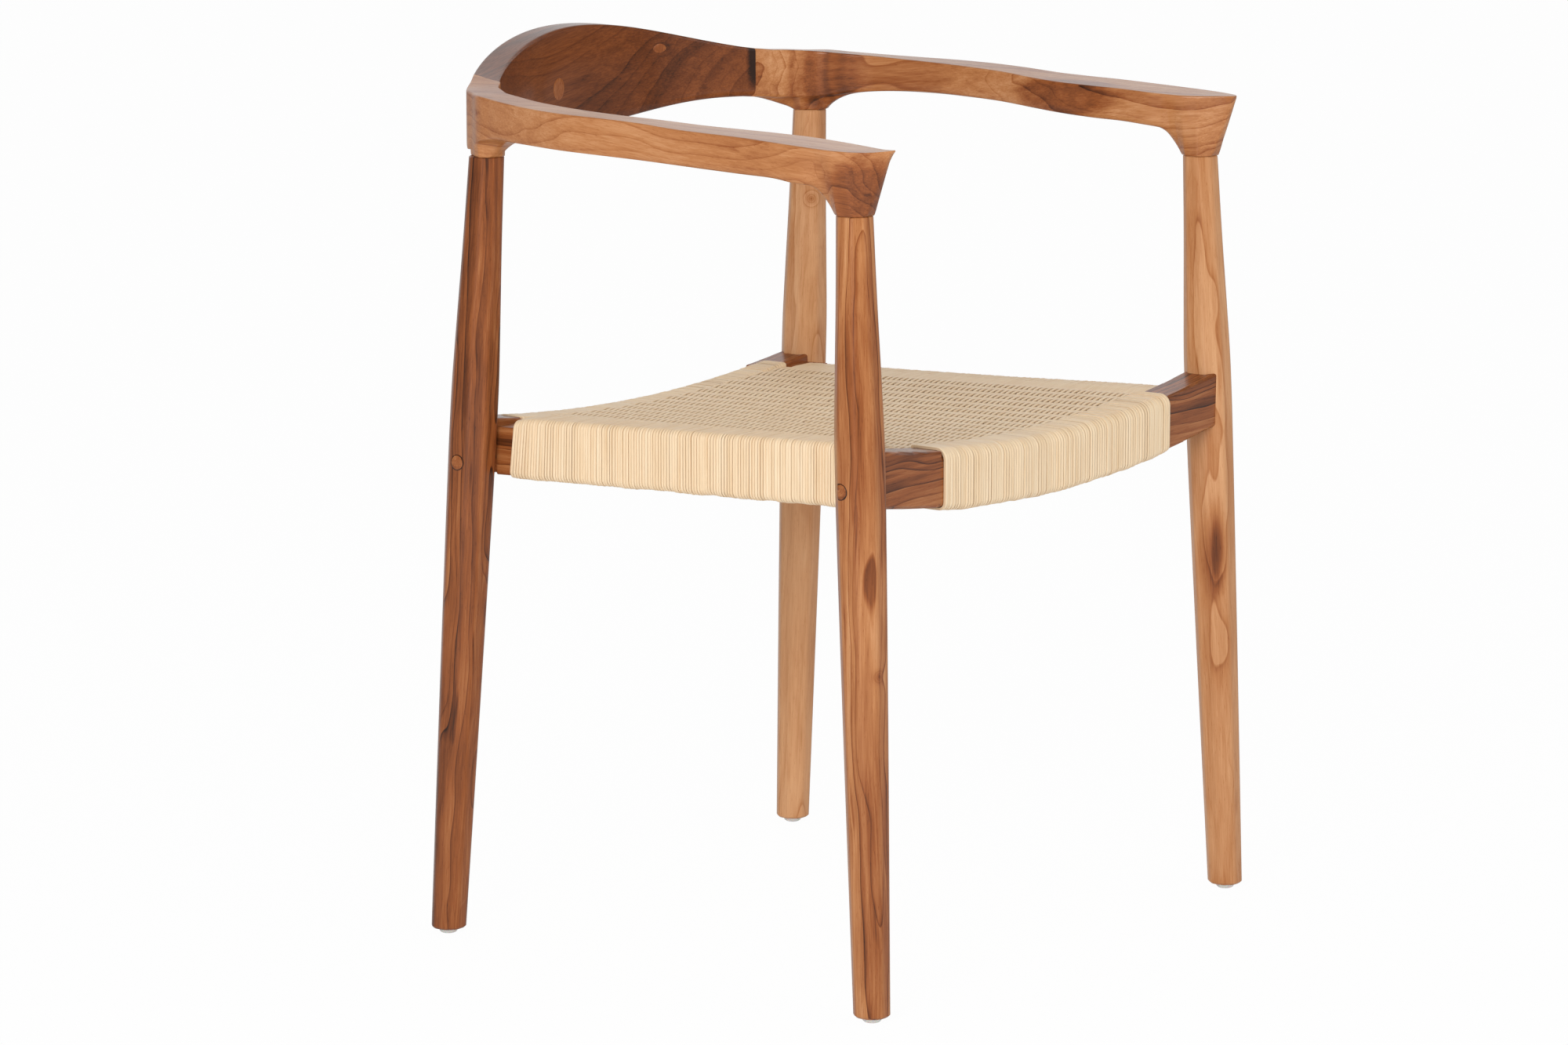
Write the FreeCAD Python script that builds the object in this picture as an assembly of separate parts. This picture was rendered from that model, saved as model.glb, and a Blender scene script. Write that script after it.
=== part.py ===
import FreeCAD, Part
import math
import os

# A teak armchair with a woven cane seat. Millimetres, +Z up, the front faces -Y.
# The design is drawn about the middle of the footprint, and the finished pieces are
# moved together at the end so that the origin lies under the middle of the whole chair.
# Left is -X and right is +X, as seen from the front. Right pieces are drawn first and
# the left ones are their mirror images.

V = FreeCAD.Vector

# Stance of the legs: centres of the feet on the floor and of the joints under the arms
front_foot_half_span = 271.0
front_foot_forward = 228.0
rear_foot_half_span = 250.5
rear_foot_back = 227.0
front_joint_half_span = 258.0
front_joint_forward = 200.0
front_joint_height = 647.0
rear_joint_half_span = 230.0
rear_joint_back = 193.5
rear_joint_height = 665.0

# Legs: soft-edged octagons, thickest at the seat
leg_foot_width = 29.0
leg_swell_width = 39.0
leg_top_width = 28.8
leg_swell_height = 440.0
leg_edge_radius = 3.0
leg_foot_bevel = 1.5
leg_tenon_diameter = 18.0
leg_tenon_length = 26.0
leg_height_shares = (0.0, 0.55, 0.88, 1.0)
leg_swell_shares = (0.0, 0.62, 0.93, 1.0)
leg_neck_shares = (0.16, 0.36, 0.68, 1.0)
leg_neck_slim_shares = (0.04, 0.27, 0.7, 1.0)

# Nail-on glides under the feet
glide_diameter = 16.0
glide_flat_diameter = 8.0
glide_height = 5.0
glide_rim_height = 1.5
glide_nail_diameter = 3.0
glide_nail_length = 22.0
glide_sole = 2.0

# Seat rails: the front and rear ones dip in the middle
rail_height = 46.0
rail_thickness = 30.0
rail_edge_radius = 2.5
front_rail_top = 459.0
front_rail_dip = 18.5
rear_rail_top = 443.0
rear_rail_dip = 13.5
side_rail_height = 41.0
side_rail_thickness = 30.0
side_rail_half_span = 209.0
side_rail_drop = 5.3
side_rail_tenon_length = 8.0
side_rail_tenon_thickness = 11.0
side_rail_tenon_height = 28.0

# Dowels that join the rails to the legs: the lower one shows on the outside as a peg
peg_diameter = 12.5
peg_rail_depth = 24.0
front_peg_drop = 6.0
front_peg_setback = 6.0
rear_peg_drop = 11.0
rear_peg_setback = 0.0
blind_dowel_diameter = 8.0
blind_dowel_length = 36.0
blind_dowel_rise = 12.0
dowel_clearance = 0.1

# Cane seat: the wrapped sleeves on the rails, the woven panel and the lower strand layer
cane_cover = 2.5
wrap_half_length = 170.0
wrap_front_gap = 6.0
wrap_rear_gap = 22.0
wrap_shoulder_radius = 13.0
wrap_edge_radius = 7.0
panel_thickness = 5.0
panel_rib_spacing = 21.93
panel_rib_height = 1.6
under_weave_thickness = 4.0
weave_gap = 0.25
tack_diameter = 1.8
tack_head_diameter = 5.0
tack_head_thickness = 0.8
tack_length = 12.0
tacks_per_rail = 4
tack_spread_share = 0.7
tack_height_share = 0.34

# Top rail: a bent back piece between two carved arms
back_reach = 288.5
back_thickness = 25.0
back_foot_taper = 2.5
rear_corner_thickness = 32.0
rear_corner_offset = 1.0
rear_corner_rise = 50.5
rear_corner_depth = 37.0
back_crest_rise = 36.5
back_belly_drop = 17.5
back_top_fall = 1.0
crest_run = 262.0
belly_run = 182.0
top_edge_radius = 2.0
bottom_edge_radius = 7.0
back_section_count = 9
back_joint_half_span = 177.0
back_joint_skew_angle = 15.0
back_joint_overlap = 40.0
arm_root_section_count = 4
arm_fill_section_count = 2
back_dowel_diameter = 9.0
back_dowel_length = 44.0
back_dowel_spacing = 22.0

# Arms: stations between the rear post and the front post
arm_front_rise = 53.0
arm_width = 55.5
arm_depth = 28.5
arm_bow = 26.5
arm_fall = 1.5
post_corner_rise = 21.0

# Rows: shares of the way from the rear post to the front post, of the arm's bow, of its
# width and of its depth
arm_station_shares = (
    (0.080, 0.50, 0.50, 1.14),
    (0.161, 0.79, 0.52, 1.09),
    (0.258, 0.98, 0.59, 1.02),
    (0.369, 1.00, 0.64, 1.00),
    (0.491, 0.79, 0.70, 1.00),
    (0.618, 0.46, 0.86, 1.00),
    (0.745, 0.23, 0.965, 1.00),
    (0.872, 0.13, 0.99, 1.00),
    (1.000, 0.12, 0.86, 1.00),
)

# Rear post flare: corners of its level outlines, in shares of half the leg's top width, along
# the rail and outwards from it, after each outline's share of the flare's rise
rear_flare_rise = 15.0
rear_flare_shares = (
    (0.00, ((0.98, 0.414), (0.414, 0.98), (-0.414, 0.98), (-0.98, 0.414),
            (-0.98, -0.414), (-0.414, -0.98), (0.414, -0.98), (0.98, -0.414))),
    (0.35, ((1.34, 0.14), (0.50, 1.00), (-0.53, 1.00), (-1.34, 0.36),
            (-1.34, -0.50), (-0.47, -0.99), (0.50, -0.99), (1.27, -0.74))),
    (0.68, ((1.95, -0.20), (0.62, 1.00), (-0.66, 1.00), (-1.90, 0.30),
            (-1.90, -0.55), (-0.53, -0.98), (0.60, -0.99), (1.75, -1.12))),
    (1.00, ((2.70, -0.72), (0.70, 0.98), (-0.80, 0.98), (-2.60, 0.22),
            (-2.60, -0.50), (-0.60, -0.96), (0.67, -0.98), (2.45, -1.50))),
    (1.60, ((2.80, -0.84), (0.70, 0.94), (-0.80, 0.94), (-2.70, 0.15),
            (-2.70, -0.45), (-0.60, -0.92), (0.67, -0.94), (2.60, -1.52))),
)

# Front post: corners of its level outlines in shares of half the arm's width, outwards and
# forwards from the joint, and the radius of their corners in the same shares
front_post_ring_shares = ((0.53, 0.22), (0.22, 0.53), (-0.22, 0.53), (-0.53, 0.22),
                          (-0.53, -0.22), (-0.22, -0.53), (0.22, -0.53), (0.53, -0.22))
front_post_waist_shares = ((0.88, 0.28), (0.48, 0.80), (-0.20, 0.94), (-0.60, 0.38),
                           (-0.70, -0.40), (-0.42, -1.17), (0.44, -1.17), (0.92, -0.40))
front_post_top_shares = ((1.00, 0.06), (0.68, 0.82), (-0.10, 1.26), (-0.48, 0.66),
                         (-0.72, -0.02), (-0.58, -1.5), (0.62, -1.5), (0.95, -0.60))
front_post_corner_share = 0.11

# Fillers let into the inner face of the backrest
round_plug_diameter = 19.0
round_plug_run = -30.0
round_plug_level_share = 0.43
knot_plug_length = 14.0
knot_plug_height = 8.0
knot_plug_run = 102.0
knot_plug_level_share = 0.75
plug_depth = 8.0
cut_overrun = 5.0

# Heights of the top rail, stacked on the joints that carry it
rear_corner_top = rear_joint_height + rear_corner_rise
rear_corner_bottom = rear_corner_top - rear_corner_depth
back_crest_height = rear_corner_top + back_crest_rise
back_middle_bottom = rear_corner_bottom - back_belly_drop
arm_front_height = front_joint_height + arm_front_rise
post_corner_height = front_joint_height + post_corner_rise


def between(a, b, share):
    return a + (b - a) * share


def rounded_loop(points, radii):
    """Closed loop through the points with an arc of its own radius at each corner."""
    starts, ends, arcs = [], [], []
    count = len(points)
    for i, corner in enumerate(points):
        back = (points[i - 1] - corner).normalize()
        ahead = (points[(i + 1) % count] - corner).normalize()
        half = back.getAngle(ahead) / 2
        trim = radii[i] / math.tan(half)
        start = corner + back * trim
        end = corner + ahead * trim
        middle = corner + (back + ahead).normalize() * (radii[i] / math.sin(half) - radii[i])
        starts.append(start)
        ends.append(end)
        arcs.append(Part.Arc(start, middle, end).toShape())
    edges = []
    for i in range(count):
        edges.append(arcs[i])
        edges.append(Part.LineSegment(ends[i], starts[(i + 1) % count]).toShape())
    return Part.Wire(edges)


def cylinder(start, end, diameter):
    along = end - start
    return Part.makeCylinder(diameter / 2, along.Length, start, along)


def box_between(low, high):
    size = high - low
    return Part.makeBox(size.x, size.y, size.z, low)


def mirrored(shape):
    return shape.mirror(V(0, 0, 0), V(1, 0, 0))


# Legs

def octagon(centre, width, radius):
    """Level octagon with flats facing the chair's front, back and sides."""
    reach = width / 2 / math.cos(math.pi / 8)
    corners = []
    for i in range(8):
        angle = math.pi / 8 + i * math.pi / 4
        corners.append(centre + V(reach * math.cos(angle), reach * math.sin(angle), 0))
    return rounded_loop(corners, [radius] * 8)


class Leg:
    def __init__(self, foot, joint):
        self.foot = foot
        self.joint = joint

    def centre(self, height):
        return self.foot + (self.joint - self.foot) * (height / self.joint.z)

    def stations(self):
        """Heights and widths from just above the foot to the joint."""
        rows = []
        sole = glide_height + leg_foot_bevel
        for height_share, swell_share in zip(leg_height_shares, leg_swell_shares):
            height = between(sole, leg_swell_height, height_share)
            rows.append((height, between(leg_foot_width, leg_swell_width, swell_share)))
        for height_share, slim_share in zip(leg_neck_shares, leg_neck_slim_shares):
            height = between(leg_swell_height, self.joint.z, height_share)
            rows.append((height, between(leg_swell_width, leg_top_width, slim_share)))
        return rows

    def blank(self):
        """The leg before any hole is bored, with its round tenon."""
        rows = self.stations()
        loops = [octagon(self.centre(height), width, leg_edge_radius) for height, width in rows]
        shaft = Part.makeLoft(loops, True, True)
        sole = octagon(self.centre(glide_height), leg_foot_width - 2 * leg_foot_bevel, leg_edge_radius)
        bevel = Part.makeLoft([sole, loops[0]], True, True)
        tenon = cylinder(self.joint, self.joint + V(0, 0, leg_tenon_length), leg_tenon_diameter)
        return shaft.fuse([bevel, tenon])


front_leg = Leg(V(front_foot_half_span, -front_foot_forward, 0),
                V(front_joint_half_span, -front_joint_forward, front_joint_height))
rear_leg = Leg(V(rear_foot_half_span, rear_foot_back, 0),
               V(rear_joint_half_span, rear_joint_back, rear_joint_height))


# Foot glides

def glide_at(leg):
    """A domed glide with a flat sole, bored for its nail, and the nail."""
    base = leg.centre(0)
    flat = glide_flat_diameter / 2
    rim = glide_diameter / 2
    shoulder = glide_height - glide_rim_height
    middle = V(between(flat, rim, math.sin(math.pi / 4)), 0, shoulder * (1 - math.cos(math.pi / 4)))
    dome = Part.Arc(V(flat, 0, 0), middle, V(rim, 0, shoulder)).toShape()
    corners = [V(rim, 0, shoulder), V(rim, 0, glide_height), V(0, 0, glide_height), V(0, 0, 0), V(flat, 0, 0)]
    sides = [Part.LineSegment(a, b).toShape() for a, b in zip(corners, corners[1:])]
    solid = Part.Face(Part.Wire([dome] + sides)).revolve(V(0, 0, 0), V(0, 0, 1), 360)
    solid.translate(base)
    nail = cylinder(base + V(0, 0, glide_sole), base + V(0, 0, glide_sole + glide_nail_length), glide_nail_diameter)
    return solid.cut(nail), nail


# Seat rails

def bar_loop(across, low, high, radii, plane_point):
    """Upright rounded section: across is the pair of sides, radii run from the far low corner."""
    direction, near, far = across
    corners = [plane_point + direction * far + V(0, 0, low),
               plane_point + direction * far + V(0, 0, high),
               plane_point + direction * near + V(0, 0, high),
               plane_point + direction * near + V(0, 0, low)]
    return rounded_loop(corners, radii)


class DippedRail:
    """A rail across the chair, bent to an arc that dips in the middle."""

    def __init__(self, leg, top, dip, outward):
        self.leg = leg
        self.top = top
        self.dip = dip
        self.outward = outward
        self.seat = leg.centre(top - rail_height / 2)
        self.half_length = self.seat.x - leg_swell_width / 2
        self.radius = (self.half_length ** 2 + dip ** 2) / (2 * dip)
        self.pivot = V(0, self.seat.y, top - dip + self.radius)

    def top_at(self, x):
        return self.pivot.z - math.sqrt(self.radius ** 2 - x ** 2)

    def face(self, side):
        """Place of the rail's outer face for side 1, and of its inner face for side -1."""
        return self.seat.y + self.outward * side * rail_thickness / 2

    def bar(self, cover, radii, start, end):
        """The bent bar grown by a cover, between two distances from the middle."""
        middle_top = self.top - self.dip
        half = rail_thickness / 2 + cover
        outward = V(0, self.outward, 0)
        loop = bar_loop((outward, -half, half), middle_top - rail_height - cover, middle_top + cover,
                        radii, V(0, self.seat.y, 0))
        start_angle = math.degrees(math.asin(start / self.radius))
        end_angle = math.degrees(math.asin(end / self.radius))
        face = Part.Face(loop)
        face.rotate(self.pivot, V(0, -1, 0), start_angle)
        return face.revolve(self.pivot, V(0, -1, 0), end_angle - start_angle)

    def wrapped_core(self):
        inner = wrap_edge_radius - cane_cover
        shoulder = wrap_shoulder_radius - cane_cover
        return self.bar(0, [inner, shoulder, inner, inner], -wrap_half_length, wrap_half_length)

    def blank(self):
        """The whole rail, running on into the legs."""
        plain = [rail_edge_radius] * 4
        reach = self.seat.x
        ends = [self.bar(0, plain, -reach, -wrap_half_length), self.bar(0, plain, wrap_half_length, reach)]
        return self.wrapped_core().fuse(ends)

    def sleeve(self):
        """The cane turns round the rail, as one smooth cover."""
        radii = [wrap_edge_radius, wrap_shoulder_radius, wrap_edge_radius, wrap_edge_radius]
        return self.bar(cane_cover, radii, -wrap_half_length, wrap_half_length).cut(self.wrapped_core())


front_rail = DippedRail(front_leg, front_rail_top, front_rail_dip, -1)
rear_rail = DippedRail(rear_leg, rear_rail_top, rear_rail_dip, 1)


class SideRail:
    """The right-hand rail between the front and rear rails, level with them where they meet."""

    def __init__(self):
        self.front_y = front_rail.face(-1)
        self.rear_y = rear_rail.face(-1)
        self.front_top = front_rail.top_at(side_rail_half_span) - side_rail_drop
        self.rear_top = rear_rail.top_at(side_rail_half_span) - side_rail_drop
        self.inner = side_rail_half_span - side_rail_thickness / 2
        self.outer = side_rail_half_span + side_rail_thickness / 2

    def top_at(self, y):
        share = (y - self.front_y) / (self.rear_y - self.front_y)
        return between(self.front_top, self.rear_top, share)

    def bar(self, cover, radii, start, end):
        top = self.top_at(start)
        loop = bar_loop((V(1, 0, 0), self.inner - cover, self.outer + cover),
                        top - side_rail_height - cover, top + cover, radii, V(0, start, 0))
        return Part.Face(loop).extrude(V(0, end - start, self.top_at(end) - top))

    def wrap_span(self):
        return self.front_y + wrap_front_gap, self.rear_y - wrap_rear_gap

    def wrapped_core(self):
        inner = wrap_edge_radius - cane_cover
        shoulder = wrap_shoulder_radius - cane_cover
        return self.bar(0, [inner, shoulder, inner, inner], *self.wrap_span())

    def blank(self):
        start, end = self.wrap_span()
        plain = [rail_edge_radius] * 4
        ends = [self.bar(0, plain, self.front_y, start), self.bar(0, plain, end, self.rear_y)]
        return self.wrapped_core().fuse(ends)

    def sleeve(self):
        radii = [wrap_edge_radius, wrap_shoulder_radius, wrap_edge_radius, wrap_edge_radius]
        return self.bar(cane_cover, radii, *self.wrap_span()).cut(self.wrapped_core())

    def tenons(self, clearance):
        """Stub tenons into the front and rear rails, grown by the clearance for their mortises."""
        blocks = []
        for y, top, outward in ((self.front_y, self.front_top, -1), (self.rear_y, self.rear_top, 1)):
            middle = V(side_rail_half_span, y, top - side_rail_height / 2)
            half = V(side_rail_tenon_thickness / 2 + clearance, 0, side_rail_tenon_height / 2 + clearance)
            tip = V(0, outward * (side_rail_tenon_length + clearance), 0)
            low = middle - half + (tip if outward < 0 else V(0, 0, 0))
            high = middle + half + (tip if outward > 0 else V(0, 0, 0))
            blocks.append(box_between(low, high))
        return blocks


side_rail = SideRail()


def rail_dowels(rail, peg_drop, peg_setback, clearance):
    """The peg that shows and the blind dowel above it, from the leg into the rail's end."""
    middle = rail.top - rail_height / 2
    low = rail.leg.centre(middle - peg_drop) + V(0, peg_setback, 0)
    peg_end = V(rail.half_length - peg_rail_depth, low.y, low.z)
    peg_start = V(low.x + leg_swell_width, low.y, low.z)
    peg = cylinder(peg_start, peg_end - V(clearance, 0, 0), peg_diameter + 2 * clearance)
    high = rail.leg.centre(middle + blind_dowel_rise)
    half = V(blind_dowel_length / 2 + clearance, 0, 0)
    joint = V(rail.half_length, high.y, high.z)
    blind = cylinder(joint - half, joint + half, blind_dowel_diameter + 2 * clearance)
    return peg, blind


# Woven panel and lower strand layer

def dished_sheet(plain_offset, ribbed_offset, edge_drop):
    """A sheet between the side rails that follows both dips, with its two sides offset from the
    rails' tops, and its edges lowered to the side rails. One side has shallow ribs from front
    to rear, as bundles of cane strands make."""
    half = side_rail.inner - cane_cover - weave_gap
    rib_count = max(1, round(2 * half / panel_rib_spacing))
    groove = math.copysign(panel_rib_height, plain_offset - ribbed_offset)
    loops = []
    for rail in (front_rail, rear_rail):
        y = rail.face(-1) - rail.outward * (cane_cover + weave_gap)
        ribbed = []
        for i in range(2 * rib_count + 1):
            x = between(-half, half, i / (2 * rib_count))
            sunk = (groove if i % 2 == 0 else 0) - edge_drop * (x / half) ** 4
            ribbed.append(V(x, y, rail.top_at(x) + ribbed_offset + sunk))
        edge = rail.top_at(half) - edge_drop + plain_offset
        plain = [V(half, y, edge), V(0, y, rail.top_at(0) + plain_offset), V(-half, y, edge)]
        edges = [Part.LineSegment(a, b).toShape() for a, b in zip(ribbed, ribbed[1:])]
        edges.append(Part.LineSegment(ribbed[-1], plain[0]).toShape())
        edges.append(Part.Arc(*plain).toShape())
        edges.append(Part.LineSegment(plain[-1], ribbed[0]).toShape())
        loops.append(Part.Wire(edges))
    return Part.makeLoft(loops, True, True)


def tack(point, inward):
    """A tack whose head lies on the cane and whose shank goes on into the rail."""
    head = cylinder(point - inward * tack_head_thickness, point, tack_head_diameter)
    return head.fuse(cylinder(point, point + inward * tack_length, tack_diameter))


def dipped_rail_tacks(rail):
    spread = wrap_half_length * tack_spread_share
    y = rail.face(-1) - rail.outward * cane_cover
    row = []
    for i in range(tacks_per_rail):
        x = between(-spread, spread, i / (tacks_per_rail - 1))
        z = rail.top_at(x) - rail_height * (1 - tack_height_share)
        row.append(tack(V(x, y, z), V(0, rail.outward, 0)))
    return row


def side_rail_tacks():
    start, end = side_rail.wrap_span()
    middle = (start + end) / 2
    spread = (end - start) / 2 * tack_spread_share
    row = []
    for i in range(tacks_per_rail):
        y = between(middle - spread, middle + spread, i / (tacks_per_rail - 1))
        z = side_rail.top_at(y) - side_rail_height * (1 - tack_height_share)
        row.append(tack(V(side_rail.inner - cane_cover, y, z), V(1, 0, 0)))
    return row


# Top rail: upright sections on rays from the centre of its plan arc

back_rise = back_reach - rear_joint_back
back_radius = (rear_joint_half_span ** 2 + back_rise ** 2) / (2 * back_rise)
back_centre_y = back_reach - back_radius
rear_corner_angle = math.degrees(math.asin(rear_joint_half_span / back_radius))
back_joint_angle = math.degrees(math.asin(back_joint_half_span / back_radius))


def outward_at(angle):
    """Level direction of the ray at an angle from straight back."""
    return V(math.sin(math.radians(angle)), math.cos(math.radians(angle)), 0)


def back_point(angle, outward, height):
    """A point on the ray at an angle, some way outside the middle arc."""
    return V(0, back_centre_y, height) + outward_at(angle) * (back_radius + outward)


def angle_of(run):
    """The angle that a distance along the middle arc turns through."""
    return math.degrees(run / back_radius)


def bell(angle, run):
    """One in the middle, falling smoothly to nothing at a distance along the arc."""
    return (1 + math.cos(math.pi * min(abs(angle) / angle_of(run), 1))) / 2


def upright_loop(middle, outward, top_width, foot_width, inner_top, outer_top, bottom):
    """Upright section across the top rail, with crisp top edges and a rounded underside."""
    corners = [middle - outward * (top_width / 2) + V(0, 0, inner_top),
               middle + outward * (top_width / 2) + V(0, 0, outer_top),
               middle + outward * (foot_width / 2) + V(0, 0, bottom),
               middle - outward * (foot_width / 2) + V(0, 0, bottom)]
    return rounded_loop(corners, [top_edge_radius, top_edge_radius, bottom_edge_radius, bottom_edge_radius])


def back_top(angle):
    return between(rear_corner_top, back_crest_height, bell(angle, crest_run))


def back_bottom(angle):
    return between(rear_corner_bottom, back_middle_bottom, bell(angle, belly_run))


def back_station(angle, offset, thickness):
    """Middle point, top and foot widths, inner and outer top heights and bottom height."""
    outer_top = back_top(angle)
    fall = back_top_fall * math.sin(math.pi * min(abs(angle) / angle_of(crest_run), 1) ** 2)
    foot = thickness - back_foot_taper * bell(angle, belly_run)
    middle = back_point(angle, offset, 0)
    return middle.x, middle.y, thickness, foot, outer_top + fall, outer_top, back_bottom(angle)


def joint_block(side):
    """A block that covers one side of the right-hand butt joint: 1 is the arm's side."""
    middle = back_point(back_joint_angle, 0, back_middle_bottom - cut_overrun)
    along = outward_at(-back_joint_skew_angle) * (2 * back_joint_overlap)
    away = outward_at(90 - back_joint_skew_angle) * (side * 2 * back_joint_overlap)
    corners = [middle - along, middle + along, middle + along + away, middle - along + away, middle - along]
    height = back_crest_height - back_middle_bottom + 2 * cut_overrun
    return Part.Face(Part.makePolygon(corners)).extrude(V(0, 0, height))


def backrest_blank():
    reach = back_joint_angle + angle_of(back_joint_overlap)
    steps = back_section_count - 1
    loops = []
    for i in range(back_section_count):
        angle = between(-reach, reach, i / steps)
        x, y, *section = back_station(angle, 0, back_thickness)
        loops.append(upright_loop(V(x, y, 0), outward_at(angle), *section))
    arm_side = joint_block(1)
    return Part.makeLoft(loops, True, False).cut([arm_side, mirrored(arm_side)])


def plug_tool(run, level_share, loop_at):
    """A short bar pointing out of the inner face, for a filler and its pocket."""
    angle = angle_of(run)
    outward = outward_at(angle)
    height = between(back_bottom(angle), back_top(angle), level_share)
    start = back_point(angle, -back_thickness / 2 - cut_overrun, height)
    return Part.Face(loop_at(start, outward)).extrude(outward * (cut_overrun + plug_depth))


def round_plug_loop(start, outward):
    return Part.Wire(Part.Circle(start, outward, round_plug_diameter / 2).toShape())


def knot_plug_loop(start, outward):
    along = outward.cross(V(0, 0, 1))
    half = knot_plug_length / 2
    rise = V(0, 0, knot_plug_height / 2)
    corners = [start - along * half, start - along * (half / 2) + rise, start + along * (half / 2) + rise,
               start + along * half, start + along * (half / 2) - rise, start - along * (half / 2) - rise]
    return rounded_loop(corners, [knot_plug_height / 6] * 6)


def back_dowels(clearance):
    """The lower and the upper loose dowel across the right-hand butt joint."""
    half = outward_at(back_joint_angle + 90) * (back_dowel_length / 2 + clearance)
    middle_height = (rear_corner_bottom + rear_corner_top) / 2
    dowels = []
    for side in (-1, 1):
        middle = back_point(back_joint_angle, 0, middle_height + side * back_dowel_spacing / 2)
        dowels.append(cylinder(middle - half, middle + half, back_dowel_diameter + 2 * clearance))
    return dowels


# Arms

def eased(stations, fill_count):
    """The stations with more laid smoothly between them."""
    first = [2 * a - b for a, b in zip(stations[0], stations[1])]
    last = [2 * a - b for a, b in zip(stations[-1], stations[-2])]
    rows = [first] + stations + [last]
    dense = []
    for spans in zip(rows, rows[1:], rows[2:], rows[3:]):
        for i in range(fill_count):
            t = i / fill_count
            dense.append([((2 * b) + (c - a) * t + (2 * a - 5 * b + 4 * c - d) * t ** 2
                           + (3 * b - a - 3 * c + d) * t ** 3) / 2 for a, b, c, d in zip(*spans)])
    return dense + [list(stations[-1])]


def arm_rail():
    """The long part of the right arm, from the back joint to the front post."""
    start = back_joint_angle - angle_of(back_joint_overlap)
    steps = arm_root_section_count - 1
    stations = []
    for i in range(arm_root_section_count):
        spread = (i / steps) ** 3
        stations.append(back_station(between(start, rear_corner_angle, i / steps), rear_corner_offset * spread,
                                     between(back_thickness, rear_corner_thickness, spread)))
    for run, bow, width_share, depth_share in arm_station_shares:
        x = between(rear_joint_half_span, front_joint_half_span, run) + arm_bow * bow
        y = between(rear_joint_back, -front_joint_forward, run)
        width = arm_width * width_share
        top = between(rear_corner_top, arm_front_height, run)
        stations.append((x, y, width, width, top, top + arm_fall * run, top - arm_depth * depth_share))
    dense = eased(stations, arm_fill_section_count)
    loops = []
    for i, (x, y, *section) in enumerate(dense):
        ahead = dense[min(i + 1, len(dense) - 1)]
        behind = dense[max(i - 1, 0)]
        outward = V(behind[1] - ahead[1], ahead[0] - behind[0], 0).normalize()
        loops.append(upright_loop(V(x, y, 0), outward, *section))
    return Part.makeLoft(loops, True, True).cut(joint_block(-1))


def rear_flare():
    """The carved swelling that grows out of the arm down to the rear leg."""
    outward = outward_at(rear_corner_angle)
    along = outward_at(rear_corner_angle + 90)
    half = leg_top_width / 2
    loops = []
    for rise_share, corners in rear_flare_shares:
        middle = V(rear_joint_half_span, rear_joint_back, rear_joint_height + rear_flare_rise * rise_share)
        points = [middle + along * (a * half) + outward * (o * half) for a, o in corners]
        loops.append(rounded_loop(points, [leg_edge_radius] * 8))
    return Part.makeLoft(loops, True, True)


def front_post():
    """The end of the arm and its post: level outlines from the leg's top to the pointed tip."""
    half = arm_width / 2
    levels = ((front_joint_height, front_post_ring_shares),
              (post_corner_height, front_post_waist_shares),
              (arm_front_height, front_post_top_shares))
    loops = []
    for height, corners in levels:
        points = []
        for out, forward in corners:
            points.append(V(front_joint_half_span + out * half, -front_joint_forward - forward * half, height))
        loops.append(rounded_loop(points, [half * front_post_corner_share] * 8))
    return Part.makeLoft(loops, True, True)


# Make every piece

pieces = {}


def add_pair(name, right):
    """A right-hand piece and its mirror image; the name says where the side goes."""
    pieces[name.replace("SIDE", "right")] = right
    pieces[name.replace("SIDE", "left")] = mirrored(right)


leg_blanks = [front_leg.blank(), rear_leg.blank()]
tacks = []

for place, leg, rail, peg_place, blank in (
        ("front", front_leg, front_rail, (front_peg_drop, front_peg_setback), leg_blanks[0]),
        ("rear", rear_leg, rear_rail, (rear_peg_drop, rear_peg_setback), leg_blanks[1])):
    peg, blind = rail_dowels(rail, *peg_place, 0)
    peg_hole, blind_hole = rail_dowels(rail, *peg_place, dowel_clearance)
    glide, nail = glide_at(leg)
    add_pair(place + "_SIDE_leg", blank.cut([peg_hole, blind_hole, nail]))
    add_pair(place + "_SIDE_glide", glide)
    add_pair(place + "_SIDE_glide_nail", nail)
    add_pair(place + "_SIDE_rail_dowel", blind)

    rail_blank = rail.blank()
    add_pair(place + "_SIDE_peg", peg.common(blank.fuse(rail_blank)))
    one_side = [blank, peg_hole, blind_hole] + side_rail.tenons(dowel_clearance)
    row = dipped_rail_tacks(rail)
    pieces[place + "_seat_rail"] = rail_blank.cut(one_side + [mirrored(cut) for cut in one_side] + row)
    pieces[place + "_wrap"] = rail.sleeve().cut(row)
    tacks += row

row = side_rail_tacks()
add_pair("SIDE_side_rail", side_rail.blank().fuse(side_rail.tenons(0)).cut(leg_blanks + row))
add_pair("SIDE_wrap", side_rail.sleeve().cut(row))
tacks += row + [mirrored(one) for one in row]
pieces["cane_tacks"] = Part.makeCompound(tacks)
pieces["seat_panel"] = dished_sheet(cane_cover - panel_thickness, cane_cover, side_rail_drop)
under_side = -rail_height - cane_cover
under_drop = side_rail_drop + side_rail_height - rail_height
pieces["under_weave"] = dished_sheet(under_side + under_weave_thickness, under_side, under_drop)

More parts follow.
